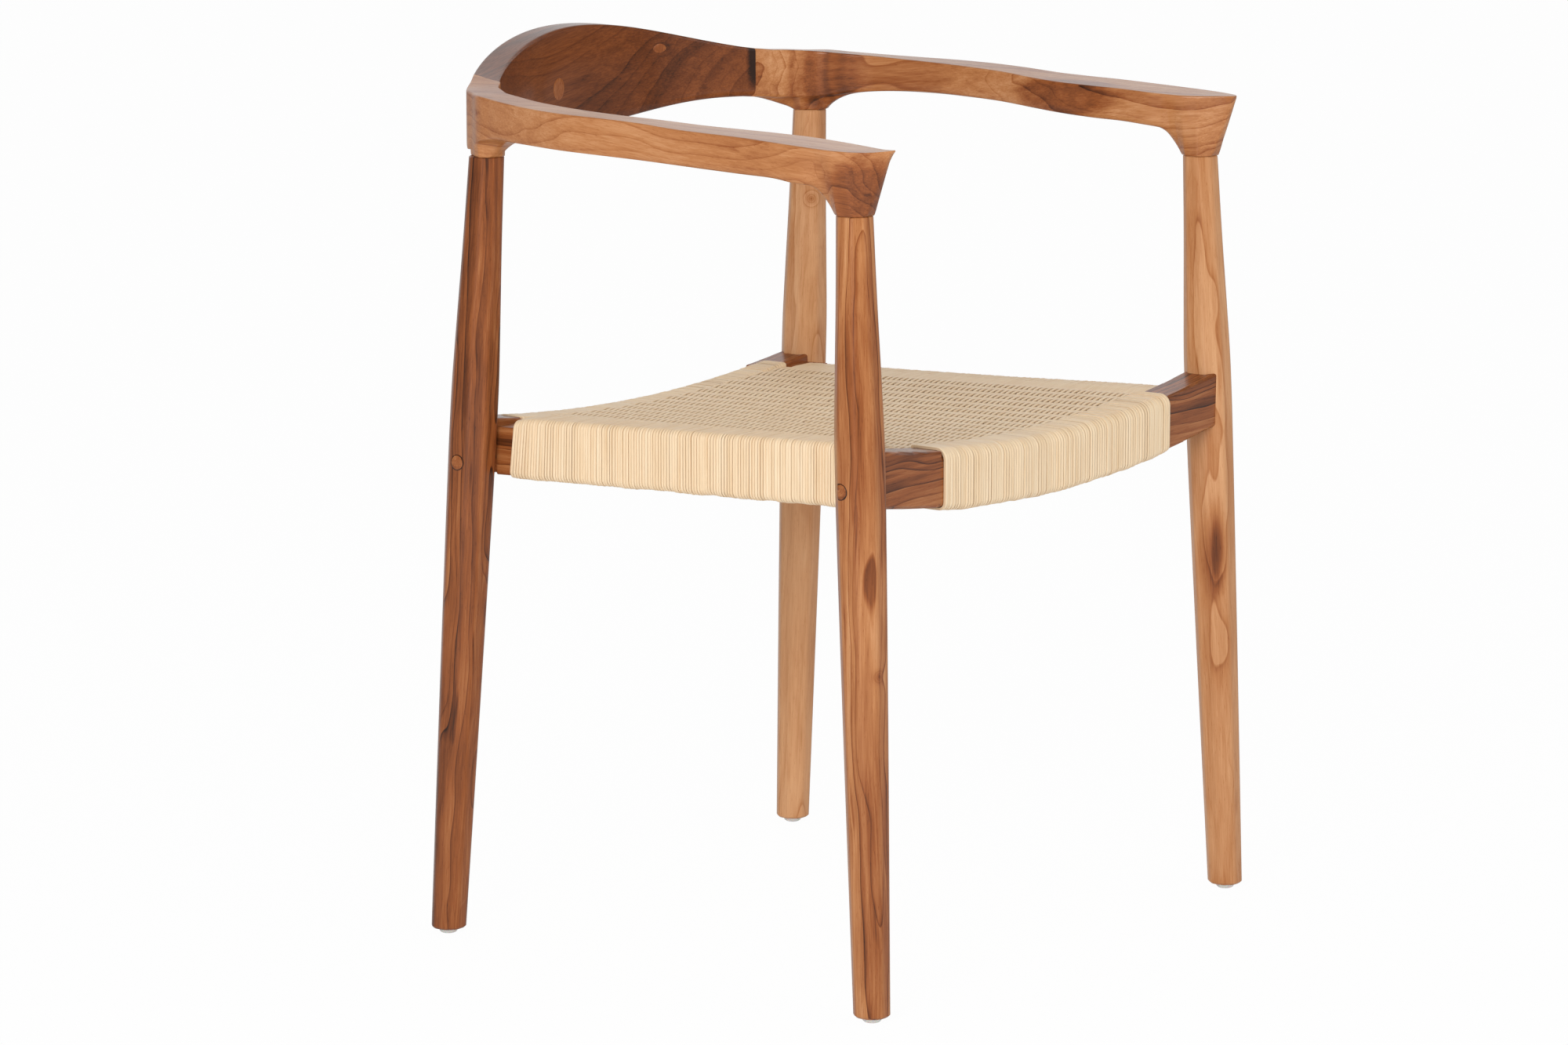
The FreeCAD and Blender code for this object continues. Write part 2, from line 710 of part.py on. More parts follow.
backrest = backrest_blank()
round_tool = plug_tool(round_plug_run, round_plug_level_share, round_plug_loop)
knot_tool = plug_tool(knot_plug_run, knot_plug_level_share, knot_plug_loop)
pieces["left_plug"] = backrest.common(round_tool)
pieces["right_plug"] = backrest.common(knot_tool)
dowel_holes = back_dowels(dowel_clearance)
pieces["backrest"] = backrest.cut([round_tool, knot_tool] + dowel_holes + [mirrored(hole) for hole in dowel_holes])
lower_dowel, upper_dowel = back_dowels(0)
add_pair("SIDE_lower_back_dowel", lower_dowel)
add_pair("SIDE_upper_back_dowel", upper_dowel)

arm = arm_rail().fuse([rear_flare(), front_post()])
tenon_holes = []
for leg in (front_leg, rear_leg):
    hole_top = leg.joint + V(0, 0, leg_tenon_length + dowel_clearance)
    tenon_holes.append(cylinder(leg.joint, hole_top, leg_tenon_diameter + 2 * dowel_clearance))
add_pair("SIDE_arm", arm.cut(dowel_holes + tenon_holes))

# Set the origin under the middle of the whole chair and write one file per piece
whole = Part.makeCompound(list(pieces.values())).optimalBoundingBox()
shift = V(-whole.Center.x, -whole.Center.y, -whole.ZMin)
os.makedirs("parts", exist_ok=True)
for name, shape in pieces.items():
    solids = [solid.removeSplitter() for solid in shape.Solids]
    shape = solids[0] if len(solids) == 1 else Part.makeCompound(solids)
    shape.translate(shift)
    shape.exportStep("parts/" + name + ".step")
    print(name, "solids", len(solids), "valid", shape.isValid(), "volume", round(shape.Volume / 1000, 1))
print("size", round(whole.XLength, 1), round(whole.YLength, 1), round(whole.ZLength, 1), "shift", shift)
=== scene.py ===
import math

import bmesh
import bpy
import numpy as np
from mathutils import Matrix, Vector


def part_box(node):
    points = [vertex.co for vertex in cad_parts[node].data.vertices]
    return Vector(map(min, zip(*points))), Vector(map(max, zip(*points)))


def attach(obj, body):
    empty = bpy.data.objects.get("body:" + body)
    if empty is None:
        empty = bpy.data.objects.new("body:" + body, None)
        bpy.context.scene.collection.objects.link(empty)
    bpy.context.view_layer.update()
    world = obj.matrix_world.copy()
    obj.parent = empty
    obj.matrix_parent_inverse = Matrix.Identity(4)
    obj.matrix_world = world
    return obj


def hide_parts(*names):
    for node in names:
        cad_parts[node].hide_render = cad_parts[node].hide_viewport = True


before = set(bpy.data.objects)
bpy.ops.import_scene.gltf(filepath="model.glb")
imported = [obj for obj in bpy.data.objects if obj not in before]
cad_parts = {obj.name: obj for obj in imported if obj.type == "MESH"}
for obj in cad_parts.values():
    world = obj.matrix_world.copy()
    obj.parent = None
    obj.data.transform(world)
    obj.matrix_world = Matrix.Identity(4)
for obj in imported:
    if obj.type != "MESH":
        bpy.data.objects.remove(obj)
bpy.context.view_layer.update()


# The legs. Each is planed from one stick of teak to a soft-edged octagon, thickest where the
# seat rails enter it and slimmer towards both ends. A round tenon on its top is glued into the
# arm, so only a fine groove shows between the two.

MM = 0.001
front_foot = np.array((271.0, -228.0, 0.0))
front_joint = np.array((258.0, -200.0, 647.0))
rear_foot = np.array((250.5, 227.0, 0.0))
rear_joint = np.array((230.0, 193.5, 665.0))
glide_height = 5.0
leg_foot_width = 29.0
leg_swell_width = 39.0
leg_top_width = 28.8
leg_swell_height = 440.0
leg_lower_widths = ((0.55, 35.2), (0.88, 38.3), (1.0, leg_swell_width))
leg_neck_widths = ((0.16, 38.6), (0.36, 36.2), (0.68, 31.9), (1.0, leg_top_width))
leg_stations = 90
leg_edge_radius = 3.4
leg_foot_bevel = 1.6
leg_top_bevel = 0.8
soft_edge_angle = math.radians(38)

# An eased corner: its steps, the most of an edge that it may take, and the narrow strip beside it
# that keeps the flat's shading flat, with the most of the flat that the strip may take
corner_steps = 5
corner_share = 0.42
strip_width = 1.2
strip_share = 0.3
no_length = 1e-6

# The pieces are drawn in millimetres about the middle of the feet, and the frame's origin lies
# under the middle of the whole chair.
glide_low, glide_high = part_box("front_right_glide")
drawing_shift = np.array((0.0, (glide_low.y + glide_high.y) / 2 / MM - front_foot[1], 0.0))


def make_piece(name, points, faces, material, node, cane=None):
    """A smooth mesh piece that rides on the frame and stands for a node."""
    mesh = bpy.data.meshes.new(name)
    mesh.from_pydata(((points + drawing_shift) * MM).tolist(), [], faces)
    work = bmesh.new()
    work.from_mesh(mesh)
    bmesh.ops.recalc_face_normals(work, faces=work.faces)
    work.to_mesh(mesh)
    work.free()
    mesh.polygons.foreach_set("use_smooth", np.ones(len(mesh.polygons), bool))
    mesh.set_sharp_from_angle(angle=soft_edge_angle)
    if cane is not None:
        facts = mesh.attributes.new("cane", "FLOAT_VECTOR", "POINT")
        facts.data.foreach_set("vector", cane.astype(np.float32).ravel())
    mesh.materials.append(material)
    piece = bpy.data.objects.new(name, mesh)
    bpy.context.scene.collection.objects.link(piece)
    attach(piece, "root")
    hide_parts(node)


def on_side(points, side):
    """Points drawn on the right, mirrored where side is -1."""
    return points * np.array((side, 1.0, 1.0))


def laid_smoothly(stations, rows, wanted):
    """Rows of numbers eased between the given stations, one row for each wanted place."""
    stations, rows = np.array(stations, float), np.array(rows, float)
    slopes = np.gradient(rows, stations, axis=0)
    index = np.clip(np.searchsorted(stations, wanted) - 1, 0, len(stations) - 2)
    span = (stations[index + 1] - stations[index])[:, None]
    t = (wanted - stations[index])[:, None] / span
    near = (2 * t ** 3 - 3 * t ** 2 + 1) * rows[index] + (t ** 3 - 2 * t ** 2 + t) * span * slopes[index]
    far = (3 * t ** 2 - 2 * t ** 3) * rows[index + 1] + (t ** 3 - t ** 2) * span * slopes[index + 1]
    return near + far


def eased_outlines(corners, radii):
    """Closed outlines whose corners are eased by curves. corners is stations by corners by 3."""
    back = np.roll(corners, 1, axis=1) - corners
    ahead = np.roll(corners, -1, axis=1) - corners
    back_length = np.linalg.norm(back, axis=2, keepdims=True) + no_length
    ahead_length = np.linalg.norm(ahead, axis=2, keepdims=True) + no_length
    radii = np.broadcast_to(np.asarray(radii, float), corners.shape[:2])[..., None]
    start = corners + back * np.minimum(radii / back_length, corner_share)
    end = corners + ahead * np.minimum(radii / ahead_length, corner_share)
    flat = np.roll(start, -1, axis=1) - end
    flat_length = np.linalg.norm(flat, axis=2, keepdims=True) + no_length
    strip = flat * np.minimum(strip_width / flat_length, strip_share)
    rows = [(1 - t) ** 2 * start + 2 * t * (1 - t) * corners + t ** 2 * end
            for t in np.linspace(0, 1, corner_steps)]
    rows += [end + strip, np.roll(start, -1, axis=1) - strip]
    return np.stack(rows, axis=2).reshape(len(corners), -1, 3)


def skin(outlines):
    """Points and faces over a row of closed outlines, with both ends closed."""
    rows, count = outlines.shape[:2]
    grid = np.arange(rows * count).reshape(rows, count)
    around = np.roll(grid, -1, axis=1)
    sides = np.stack((grid[:-1], around[:-1], around[1:], grid[1:]), axis=-1).reshape(-1, 4)
    return outlines.reshape(-1, 3), sides.tolist() + [grid[0][::-1].tolist(), grid[-1].tolist()]


def leg_centre(foot, joint, heights):
    return foot + (joint - foot) * (np.asarray(heights, float)[..., None] / joint[2])


def leg_width(joint, heights):
    """Width across the flats: a slow swelling up to the seat and a quicker neck above it, given
    at shares of the swelling's height and of the neck."""
    neck = joint[2] - leg_swell_height
    stations = [glide_height] + [share * leg_swell_height for share, _ in leg_lower_widths]
    stations += [leg_swell_height + share * neck for share, _ in leg_neck_widths]
    widths = [leg_foot_width] + [width for _, width in leg_lower_widths + leg_neck_widths]
    return laid_smoothly(stations, [[width] for width in widths], np.asarray(heights, float))[:, 0]


def leg_outlines(foot, joint):
    between = np.linspace(glide_height + 2 * leg_foot_bevel, joint[2] - 3 * leg_top_bevel, leg_stations)
    heights = np.concatenate(([glide_height, glide_height + leg_foot_bevel], between,
                              [joint[2] - leg_top_bevel, joint[2]]))
    widths = leg_width(joint, heights)
    widths[0] -= 2 * leg_foot_bevel
    widths[-1] -= 2 * leg_top_bevel
    centres = leg_centre(foot, joint, heights)
    turns = math.pi / 8 + np.arange(8) * math.pi / 4
    spokes = np.stack((np.cos(turns), np.sin(turns), np.zeros(8)), axis=1) / math.cos(math.pi / 8)
    corners = centres[:, None] + spokes[None] * widths[:, None, None] / 2
    return eased_outlines(corners, leg_edge_radius)


def colour(red, green, blue):
    """Colour as a painter's chart gives it, from 0 to 255, for a shader socket."""
    shares = [level / 255 for level in (red, green, blue)]
    straight = [share / 12.92 if share <= 0.04045 else ((share + 0.055) / 1.055) ** 2.4 for share in shares]
    return (*straight, 1.0)


def spot(place):
    """A place on the drawing in the object's own coordinates."""
    return tuple((np.array(place, float) + drawing_shift) * MM)


class Wire:
    """One output of a finish's nodes. Sums of wires and numbers add Math nodes."""

    def __init__(self, finish, socket):
        self.finish = finish
        self.socket = socket

    def other(self, output):
        """Another output of the same node."""
        return Wire(self.finish, self.socket.node.outputs[output])

    def math(self, operation, *others):
        return self.finish.node("ShaderNodeMath", {"operation": operation}, dict(enumerate((self, *others))))

    def reflected(self, operation, other):
        return self.finish.node("ShaderNodeMath", {"operation": operation}, {0: other, 1: self})

    def __add__(self, other):
        return self.math("ADD", other)

    def __sub__(self, other):
        return self.math("SUBTRACT", other)

    def __rsub__(self, other):
        return self.reflected("SUBTRACT", other)

    def __mul__(self, other):
        return self.math("MULTIPLY", other)

    def __truediv__(self, other):
        return self.math("DIVIDE", other)

    def __rtruediv__(self, other):
        return self.reflected("DIVIDE", other)

    __radd__ = __add__
    __rmul__ = __mul__


class Nodes:
    """A node tree with the one method that adds any node to it."""

    def __init__(self, tree):
        self.tree = tree

    def node(self, kind, settings=(), sockets=(), output=0):
        made = self.tree.nodes.new(kind)
        for name, value in dict(settings).items():
            if name == "stops":
                ramp = made.color_ramp.elements
                while len(ramp) < len(value):
                    ramp.new(0.5)
                for stop, (place, shade) in zip(ramp, value):
                    stop.position = place
                    stop.color = shade
            else:
                setattr(made, name, value)
        for name, value in dict(sockets).items():
            if isinstance(value, Wire):
                self.tree.links.new(value.socket, made.inputs[name])
            else:
                made.inputs[name].default_value = value
        return Wire(self, made.outputs[output])

    def vector(self, x, y, z):
        return self.node("ShaderNodeCombineXYZ", {}, {0: x, 1: y, 2: z})

    def vector_math(self, operation, first, second=(0.0, 0.0, 0.0), output="Vector"):
        return self.node("ShaderNodeVectorMath", {"operation": operation}, {0: first, 1: second}, output)

    def distance(self, where, place):
        """Millimetres from a place on the drawing."""
        return self.vector_math("DISTANCE", where, spot(place), "Value") / MM

    def object_place(self):
        return self.node("ShaderNodeTexCoord", {}, {}, "Object")

    def noise(self, where, detail=2.0, roughness=0.5, output=0):
        return self.node("ShaderNodeTexNoise", {}, {"Vector": where, "Scale": 1.0, "Detail": detail,
                                                    "Roughness": roughness}, output)

    def ramp(self, value, *stops):
        """Grey steps between places from 0 to 1."""
        chart = [(place, (level, level, level, 1.0)) for place, level in stops]
        return self.node("ShaderNodeValToRGB", {"stops": chart}, {"Fac": value})

    def fade(self, value, start, end):
        """0 at start, 1 at end, eased."""
        return self.node("ShaderNodeMapRange", {"interpolation_type": "SMOOTHSTEP"},
                         {"Value": value, "From Min": start, "From Max": end})


class Finish(Nodes):
    """A surface finish: a material whose constants are set and whose varying values are fed."""

    def __init__(self, name, **constants):
        self.material = bpy.data.materials.new(name)
        self.material.use_nodes = True
        super().__init__(self.material.node_tree)
        self.surface = self.tree.nodes["Principled BSDF"]
        for socket, value in constants.items():
            self.surface.inputs[socket.replace("_", " ")].default_value = value

    def feed(self, socket, wire):
        self.tree.links.new(wire.socket, self.surface.inputs[socket])

    def emboss(self, height, strength, depth):
        """Bump of the given height, from 0 to 1 over the depth in millimetres."""
        self.feed("Normal", self.node("ShaderNodeBump", {}, {"Height": height, "Strength": strength,
                                                            "Distance": depth * MM}, "Normal"))


teak_shades = ((0.0, colour(226, 178, 134)), (0.22, colour(207, 153, 108)), (0.42, colour(181, 120, 73)),
               (0.62, colour(146, 82, 41)), (0.8, colour(104, 54, 25)), (0.93, colour(70, 36, 17)),
               (1.0, colour(44, 24, 13)))
teak_count = 0


def knot(finish, place, slow, centre, reach, strength):
    """Darkness of a knot of small rings, and how far it pulls the board's rings towards it."""
    rough = finish.distance(place, centre) + (slow - 0.5) * (0.5 * reach)
    rings = ((rough * (2 * math.pi / (0.3 * reach))).math("SINE") + 1) * 0.5
    body = finish.fade(rough, 1.15 * reach, 0.55 * reach)
    heart = finish.fade(rough, 0.34 * reach, 0.16 * reach)
    pull = finish.fade(rough, 2.6 * reach, 0.0)
    return body * (rings * 0.16 + 0.12) * strength + heart * (0.28 * strength), pull * (2.2 * strength)


def patch(finish, place, slow, centre, half_sizes, strength):
    """Darkness of a soft patch."""
    local = finish.vector_math("SUBTRACT", place, spot(centre))
    local = finish.vector_math("MULTIPLY", local, tuple(1 / MM / size for size in half_sizes))
    away = finish.vector_math("LENGTH", local, output="Value")
    return finish.fade(away + (slow - 0.5) * 1.6, 1.25, 0.5) * strength


def band(finish, place, slow, centre, direction, inside, outside, strength, middle, reach):
    """Darkness of a band between two radii round a line, faded out away from a middle place. A
    wide band wavers and is softer."""
    wide = outside > 20
    line_way = np.array(direction, float) / np.linalg.norm(direction)
    local = finish.vector_math("SUBTRACT", place, spot(centre))
    local = finish.vector_math("CROSS_PRODUCT", local, tuple(line_way / MM))
    away = finish.vector_math("LENGTH", local, output="Value")
    if wide:
        away = away + (slow - 0.5) * 12
    soft = (0.4 if wide else 0.12) * (outside - inside)
    near = finish.fade(finish.distance(place, middle), reach, 0.6 * reach)
    return (finish.fade(away, inside - soft, inside + soft) * near
            * finish.fade(away, outside + soft, outside - soft)) * strength


def teak(name, pith, grain, tone, ring, line, cloud, streak, wander=9.0, knots=(), patches=(), bands=()):
    """Lacquered teak of one board. The growth rings lie round a pith line along the grain, both
    given on the drawing. tone is the board's darkness, ring the rings' spacing, line their
    contrast, cloud and streak the broad and the narrow changes. A knot is a place, a radius and
    a strength, a patch a place, its three half sizes and a strength, and a band lies between two
    radii round a line of its own, given as a place and a direction, near a second place."""
    global teak_count
    teak_count += 1
    finish = Finish(name, Coat_Weight=0.4, Coat_Roughness=0.16, Specular_IOR_Level=0.12)
    grain = np.array(grain, float) / np.linalg.norm(grain)
    side = np.cross(grain, (0.31, 0.87, 0.38) if abs(grain[2]) > 0.8 else (0.0, 0.0, 1.0))
    side /= np.linalg.norm(side)
    deep = np.cross(grain, side)
    place = finish.object_place()

    def measured(direction):
        """Distance in millimetres from the pith, along a direction."""
        offset = float(np.dot(np.array(pith, float) + drawing_shift, direction))
        return finish.vector_math("DOT_PRODUCT", place, tuple(direction / MM), "Value") - offset

    x, y, z = measured(side), measured(deep), measured(grain)
    board = 17.3 * teak_count
    slow_shade = finish.noise(finish.vector(x / 45 + board, y / 45, z / 170), 2.0, 0.45, 1)
    slow = finish.node("ShaderNodeSeparateXYZ", {}, {0: slow_shade})
    bent_x = x + (slow - 0.5) * (4 * wander)
    bent_y = y + (slow.other(1) - 0.5) * (4 * wander)
    radius = (bent_x * bent_x + bent_y * bent_y).math("SQRT")
    uneven = finish.node("ShaderNodeTexNoise", {"noise_dimensions": "1D"},
                         {"W": radius / (4 * ring) + board, "Scale": 1.0, "Detail": 2.0})
    phase = radius / ring + uneven * 4
    dark = Wire(finish, finish.node("ShaderNodeValue").socket)
    dark.socket.default_value = tone
    for row in knots:
        shade, pull = knot(finish, place, slow, *row)
        dark = dark + shade
        phase = phase + pull
    for row in patches:
        dark = dark + patch(finish, place, slow, *row)
    for row in bands:
        dark = dark + band(finish, place, slow, *row)
    ring_number = phase.math("FLOOR") + board
    chance = finish.node("ShaderNodeTexWhiteNoise", {"noise_dimensions": "1D"}, {"W": ring_number})
    late = finish.ramp(phase.math("FRACT"), (0.0, 0.0), (0.3, 0.03), (0.68, 0.16), (0.87, 0.5), (0.96, 1.0),
                       (1.0, 0.0))
    broad = finish.noise(finish.vector(x / 60, y / 60 + board, z / 210), 3.0, 0.5)
    narrow = finish.noise(finish.vector(bent_x / 5.5 + board, bent_y / 5.5, z / 260), 2.0, 0.5)
    fibre = finish.noise(finish.vector(x / 1.1, y / 1.1, z / 32 + board), 3.0, 0.6)
    pores = finish.noise(finish.vector(x / 0.55, y / 0.55, z / 7 + board), 1.0, 0.5)
    vein = finish.noise(finish.vector(bent_x / 9 + 2 * board, bent_y / 9, z / 120), 2.0, 0.5)
    open_pores = finish.fade(pores, 0.64, 0.74)
    dark = dark + late * (chance * 0.8 + 0.2) * line + (chance - 0.5) * (0.3 * line)
    dark = dark + (broad - 0.5) * (2.2 * cloud) + (narrow - 0.5) * (1.3 * line)
    dark = dark + finish.fade(vein, 0.62, 0.82) * streak
    dark = dark + (fibre - 0.5) * 0.3 + open_pores * 0.1
    finish.feed("Base Color", finish.node("ShaderNodeValToRGB", {"stops": teak_shades}, {"Fac": dark}))
    finish.feed("Roughness", fibre * 0.16 + 0.3 + open_pores * 0.1)
    finish.emboss(fibre * 0.5 - finish.fade(pores, 0.62, 0.74) * 0.6 - late * 0.15, 0.35, 0.06)
    return finish.material


leg_rows = (
    ("front_left_leg", front_foot, front_joint, -1,
     dict(pith=(-300, -262, 300), grain=(14, 24, 640), tone=0.5, ring=4.4, line=0.42, cloud=0.2, streak=0.4,
          wander=6.0, knots=(((-270, -233, 283), 7, 0.35),))),
    ("front_right_leg", front_foot, front_joint, 1,
     dict(pith=(330, -150, 300), grain=(-18, 34, 640), tone=0.29, ring=8.0, line=0.2, cloud=0.2, streak=0.2,
          patches=(((252, -222, 306), (11, 17, 52), 0.3), ((252, -222, 306), (6, 10, 34), 0.26)))),
    ("rear_left_leg", rear_foot, rear_joint, -1,
     dict(pith=(-232, 170, 300), grain=(15, -38, 660), tone=0.67, ring=5.2, line=0.32, cloud=0.25,
          streak=0.26)),
    ("rear_right_leg", rear_foot, rear_joint, 1,
     dict(pith=(262, 262, 300), grain=(-30, -45, 660), tone=0.24, ring=9.0, line=0.2, cloud=0.22, streak=0.15,
          wander=12.0, knots=(((220, 186, 612), 8, 0.9), ((222, 186, 585), 6, 0.6)))),
)
for name, foot, joint, side, wood in leg_rows:
    points, faces = skin(on_side(leg_outlines(foot, joint), side))
    make_piece(name + "_planed", points, faces, teak(name + "_teak", **wood), name)


# The glides. Under each foot is a small translucent plastic dome on a nail that is driven up
# into the end grain. The dome carries the chair on a flat sole.

glide_radius = 8.0
glide_sole_radius = 4.0
glide_rim = 1.5
glide_sole_lip = 0.4
glide_sole_edge = 0.08
glide_top_edge = 0.3
lathe_steps = 48
lathe_turns = np.arange(lathe_steps) * 2 * math.pi / lathe_steps
hands = ((1, "right"), (-1, "left"))


def turned(profile, centre):
    """Points and faces of a solid turned about an upright line, from radii and heights."""
    ring = np.stack((np.cos(lathe_turns), np.sin(lathe_turns), np.zeros(lathe_steps)), axis=1)
    outlines = [ring * radius + np.array((0, 0, height)) + centre for radius, height in profile]
    return skin(np.array(outlines))


def refinish(node, material):
    """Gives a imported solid, shown as it is, a finish of its own."""
    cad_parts[node].data.materials.clear()
    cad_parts[node].data.materials.append(material)


glide_finish = Finish("glide_plastic", Base_Color=colour(236, 236, 232), Subsurface_Weight=0.35,
                      Subsurface_Scale=0.004)
cloudy = glide_finish.noise(glide_finish.node("ShaderNodeVectorMath", {"operation": "SCALE"}, {
    0: glide_finish.object_place(), "Scale": 300.0}), 3.0)
glide_finish.feed("Roughness", cloudy * 0.16 + 0.3)
nail_finish = Finish("nail_steel", Base_Color=colour(176, 176, 178), Metallic=1.0)
drawn = nail_finish.noise(nail_finish.node("ShaderNodeMapping", {}, {
    "Vector": nail_finish.object_place(), "Scale": (900, 900, 60)}), 2.0)
nail_finish.feed("Roughness", drawn * 0.2 + 0.26)

dome = [(glide_sole_radius - glide_sole_lip, 0.0), (glide_sole_radius, glide_sole_edge)]
dome_rise = glide_height - glide_rim - glide_sole_edge
for turn in np.linspace(0.08, 1.0, 9) * math.pi / 2:
    dome.append((glide_sole_radius + (glide_radius - glide_sole_radius) * math.sin(turn),
                 glide_sole_edge + dome_rise * (1 - math.cos(turn))))
dome += [(glide_radius, glide_height - 0.4), (glide_radius - glide_top_edge, glide_height)]
for place, foot in (("front", front_foot), ("rear", rear_foot)):
    for side, hand in hands:
        points, faces = turned(dome, on_side(foot, side))
        make_piece(f"{place}_{hand}_glide_dome", points, faces, glide_finish.material,
                   f"{place}_{hand}_glide")
        refinish(f"{place}_{hand}_glide_nail", nail_finish.material)


# The seat rails. Four teak bars of upright section frame the seat: the front and rear ones dip
# in the middle and run into the legs, the side ones stand between them on stub tenons. Hidden
# dowels and a pegged dowel that shows on the leg's outer side hold each end.

rail_height = 46.0
rail_half_thickness = 15.0
side_rail_height = 41.0
side_rail_middle = 209.0
side_rail_drop = 5.3
side_inner = side_rail_middle - rail_half_thickness
side_outer = side_rail_middle + rail_half_thickness


class DippedRail:
    """The line of a rail across the chair, bent to an arc that dips in the middle."""

    def __init__(self, foot, joint, top, dip, outward):
        seat = leg_centre(foot, joint, top - rail_height / 2)
        half_length = seat[0] - leg_swell_width / 2
        self.radius = (half_length ** 2 + dip ** 2) / (2 * dip)
        self.base = top - dip + self.radius
        self.middle = seat[1]
        self.inner = seat[1] - outward * rail_half_thickness
        self.outward = outward
        self.top = top

    def top_at(self, x):
        return self.base - np.sqrt(self.radius ** 2 - np.asarray(x, float) ** 2)


front_rail = DippedRail(front_foot, front_joint, 459.0, 18.5, -1)
rear_rail = DippedRail(rear_foot, rear_joint, 443.0, 13.5, 1)


def seat_height(x, y):
    """Height of the rails' tops, carried across the seat from the front rail to the rear one."""
    share = (y - front_rail.inner) / (rear_rail.inner - front_rail.inner)
    return front_rail.top_at(x) * (1 - share) + rear_rail.top_at(x) * share


def side_top(y):
    return seat_height(np.full(np.shape(y), side_rail_middle), y) - side_rail_drop


for node, name, pith, grain, tone, ring, line, streak in (
        ("front_seat_rail", "front_rail_teak", (0, -150, 470), (1, 0, 0.02), 0.64, 4.4, 0.42, 0.22),
        ("rear_seat_rail", "rear_rail_teak", (0, 260, 410), (1, 0, -0.02), 0.66, 5.0, 0.26, 0.16),
        ("right_side_rail", "right_rail_teak", (240, 0, 480), (0, 1, 0.02), 0.56, 5.0, 0.3, 0.3),
        ("left_side_rail", "left_rail_teak", (-240, 0, 480), (0, 1, 0.02), 0.62, 5.0, 0.32, 0.3)):
    refinish(node, teak(name, pith, grain, tone, ring, line, 0.2, streak, 4.0))

dowel_wood = teak("dowel_wood", (0, 0, 430), (1, 0, 0), 0.12, 3.0, 0.1, 0.1, 0.05, 3.0)
for place in ("front", "rear"):
    for _, hand in hands:
        refinish(f"{place}_{hand}_rail_dowel", dowel_wood)

peg_radius = 6.25
peg_proud = 0.35
peg_groove = 0.5

# Each row: the place, its foot and joint, its rail, how far the peg lies under the rail's
# middle, and how far behind the leg's middle
peg_rows = (("front", front_foot, front_joint, front_rail, 6.0, 6.0),
            ("rear", rear_foot, rear_joint, rear_rail, 11.0, 0.0))


def peg_disc(foot, joint, height, setback):
    """The end of a peg on the outer side of a leg: a slightly proud disc in a fine dark groove,
    cut to the leg's flat and to the next one behind it."""
    centre = leg_centre(foot, joint, height)
    half = leg_width(joint, [height])[0] / 2
    lean = (joint - foot) / joint[2]
    rows = []
    for radius, out in ((peg_radius + peg_groove, -1.5), (peg_radius + peg_groove, 0.08), (peg_radius, 0.1),
                        (peg_radius - 0.15, peg_proud * 0.6), (peg_radius - 0.7, peg_proud),
                        (peg_radius * 0.5, peg_proud * 1.15), (peg_radius * 0.1, peg_proud * 1.2)):
        up = np.cos(lathe_turns) * radius
        across = np.sin(lathe_turns) * radius + setback
        surface = np.minimum(half, math.sqrt(2) * half - np.abs(across)) + out
        rows.append(np.stack((surface + lean[0] * up, across + lean[1] * up, up), axis=1) + centre)
    return np.array(rows)


for place, foot, joint, rail, drop, setback in peg_rows:
    for side, hand in hands:
        height = rail.top - rail_height / 2 - drop
        centre = on_side(leg_centre(foot, joint, height) + np.array((0, setback, 0)), side)
        # A dark ring painted round the peg's rim: painted shade of the groove round it
        groove_shade_ring = (centre, (1, 0, 0), peg_radius - 0.3, peg_radius + 2.0, 0.45, centre, 30)
        pith = centre + np.array((0, 2.5, 3))
        wood = teak(f"{place}_{hand}_peg_wood", pith, (1, 0.02, 0.03), 0.6, 1.6, 0.3, 0.05, 0.1, 1.2,
                    bands=(groove_shade_ring,))
        points, faces = skin(on_side(peg_disc(foot, joint, height, setback), side))
        make_piece(f"{place}_{hand}_peg_end", points, faces, wood, f"{place}_{hand}_peg")


# The cane. Peeled rattan cane, about 3 mm wide and domed on its outer side, is wound round the
# four rails and woven across the seat: close single strands run from side rail to side rail, over
# one pair and under the next of the spaced pairs that run from the front rail to the rear one.

# How far the cane's outer face lies off the rails. The left wrap stands higher than the right
# one, and changes along the rail.
cane_cover = 2.5
left_cover_places = (-192.5, -174.0, -31.0, 155.0, 169.0)
left_covers = (3.0, 9.4, 9.3, 8.8, 6.5)
right_cover_front = 2.2
right_cover_rear = 0.8
right_cover_run = 180.0
rear_cover = 1.2
left_shoulder = 6.0
right_shoulder = 14.0
front_shoulder = 10.0
rear_shoulder = 14.0
under_edge = 7.0
inner_edge = 3.0
turn_lead = 6
left_end_slant = 4.5
left_slant_fade = 35.0

# The single strands: their spacing, the first one's place, how many lie on both side rails, how
# many more lie on the right one alone, and how many are tucked down inside the left one
weft_pitch = 2.8
weft_front = -192.56
weft_count = 130
right_extra = 4
tucked_count = 7
tuck_place = 191.5
tuck_depth = 2.5
tuck_run = 5.0
lap_place = 196.0
weft_swing = 1.2
weft_spread = 0.3
weft_pinch = 0.42
wave_power = 2.2
pinch_power = 0.6
slip_count = 40
slip_size = 0.9
slip_reach = 6.0

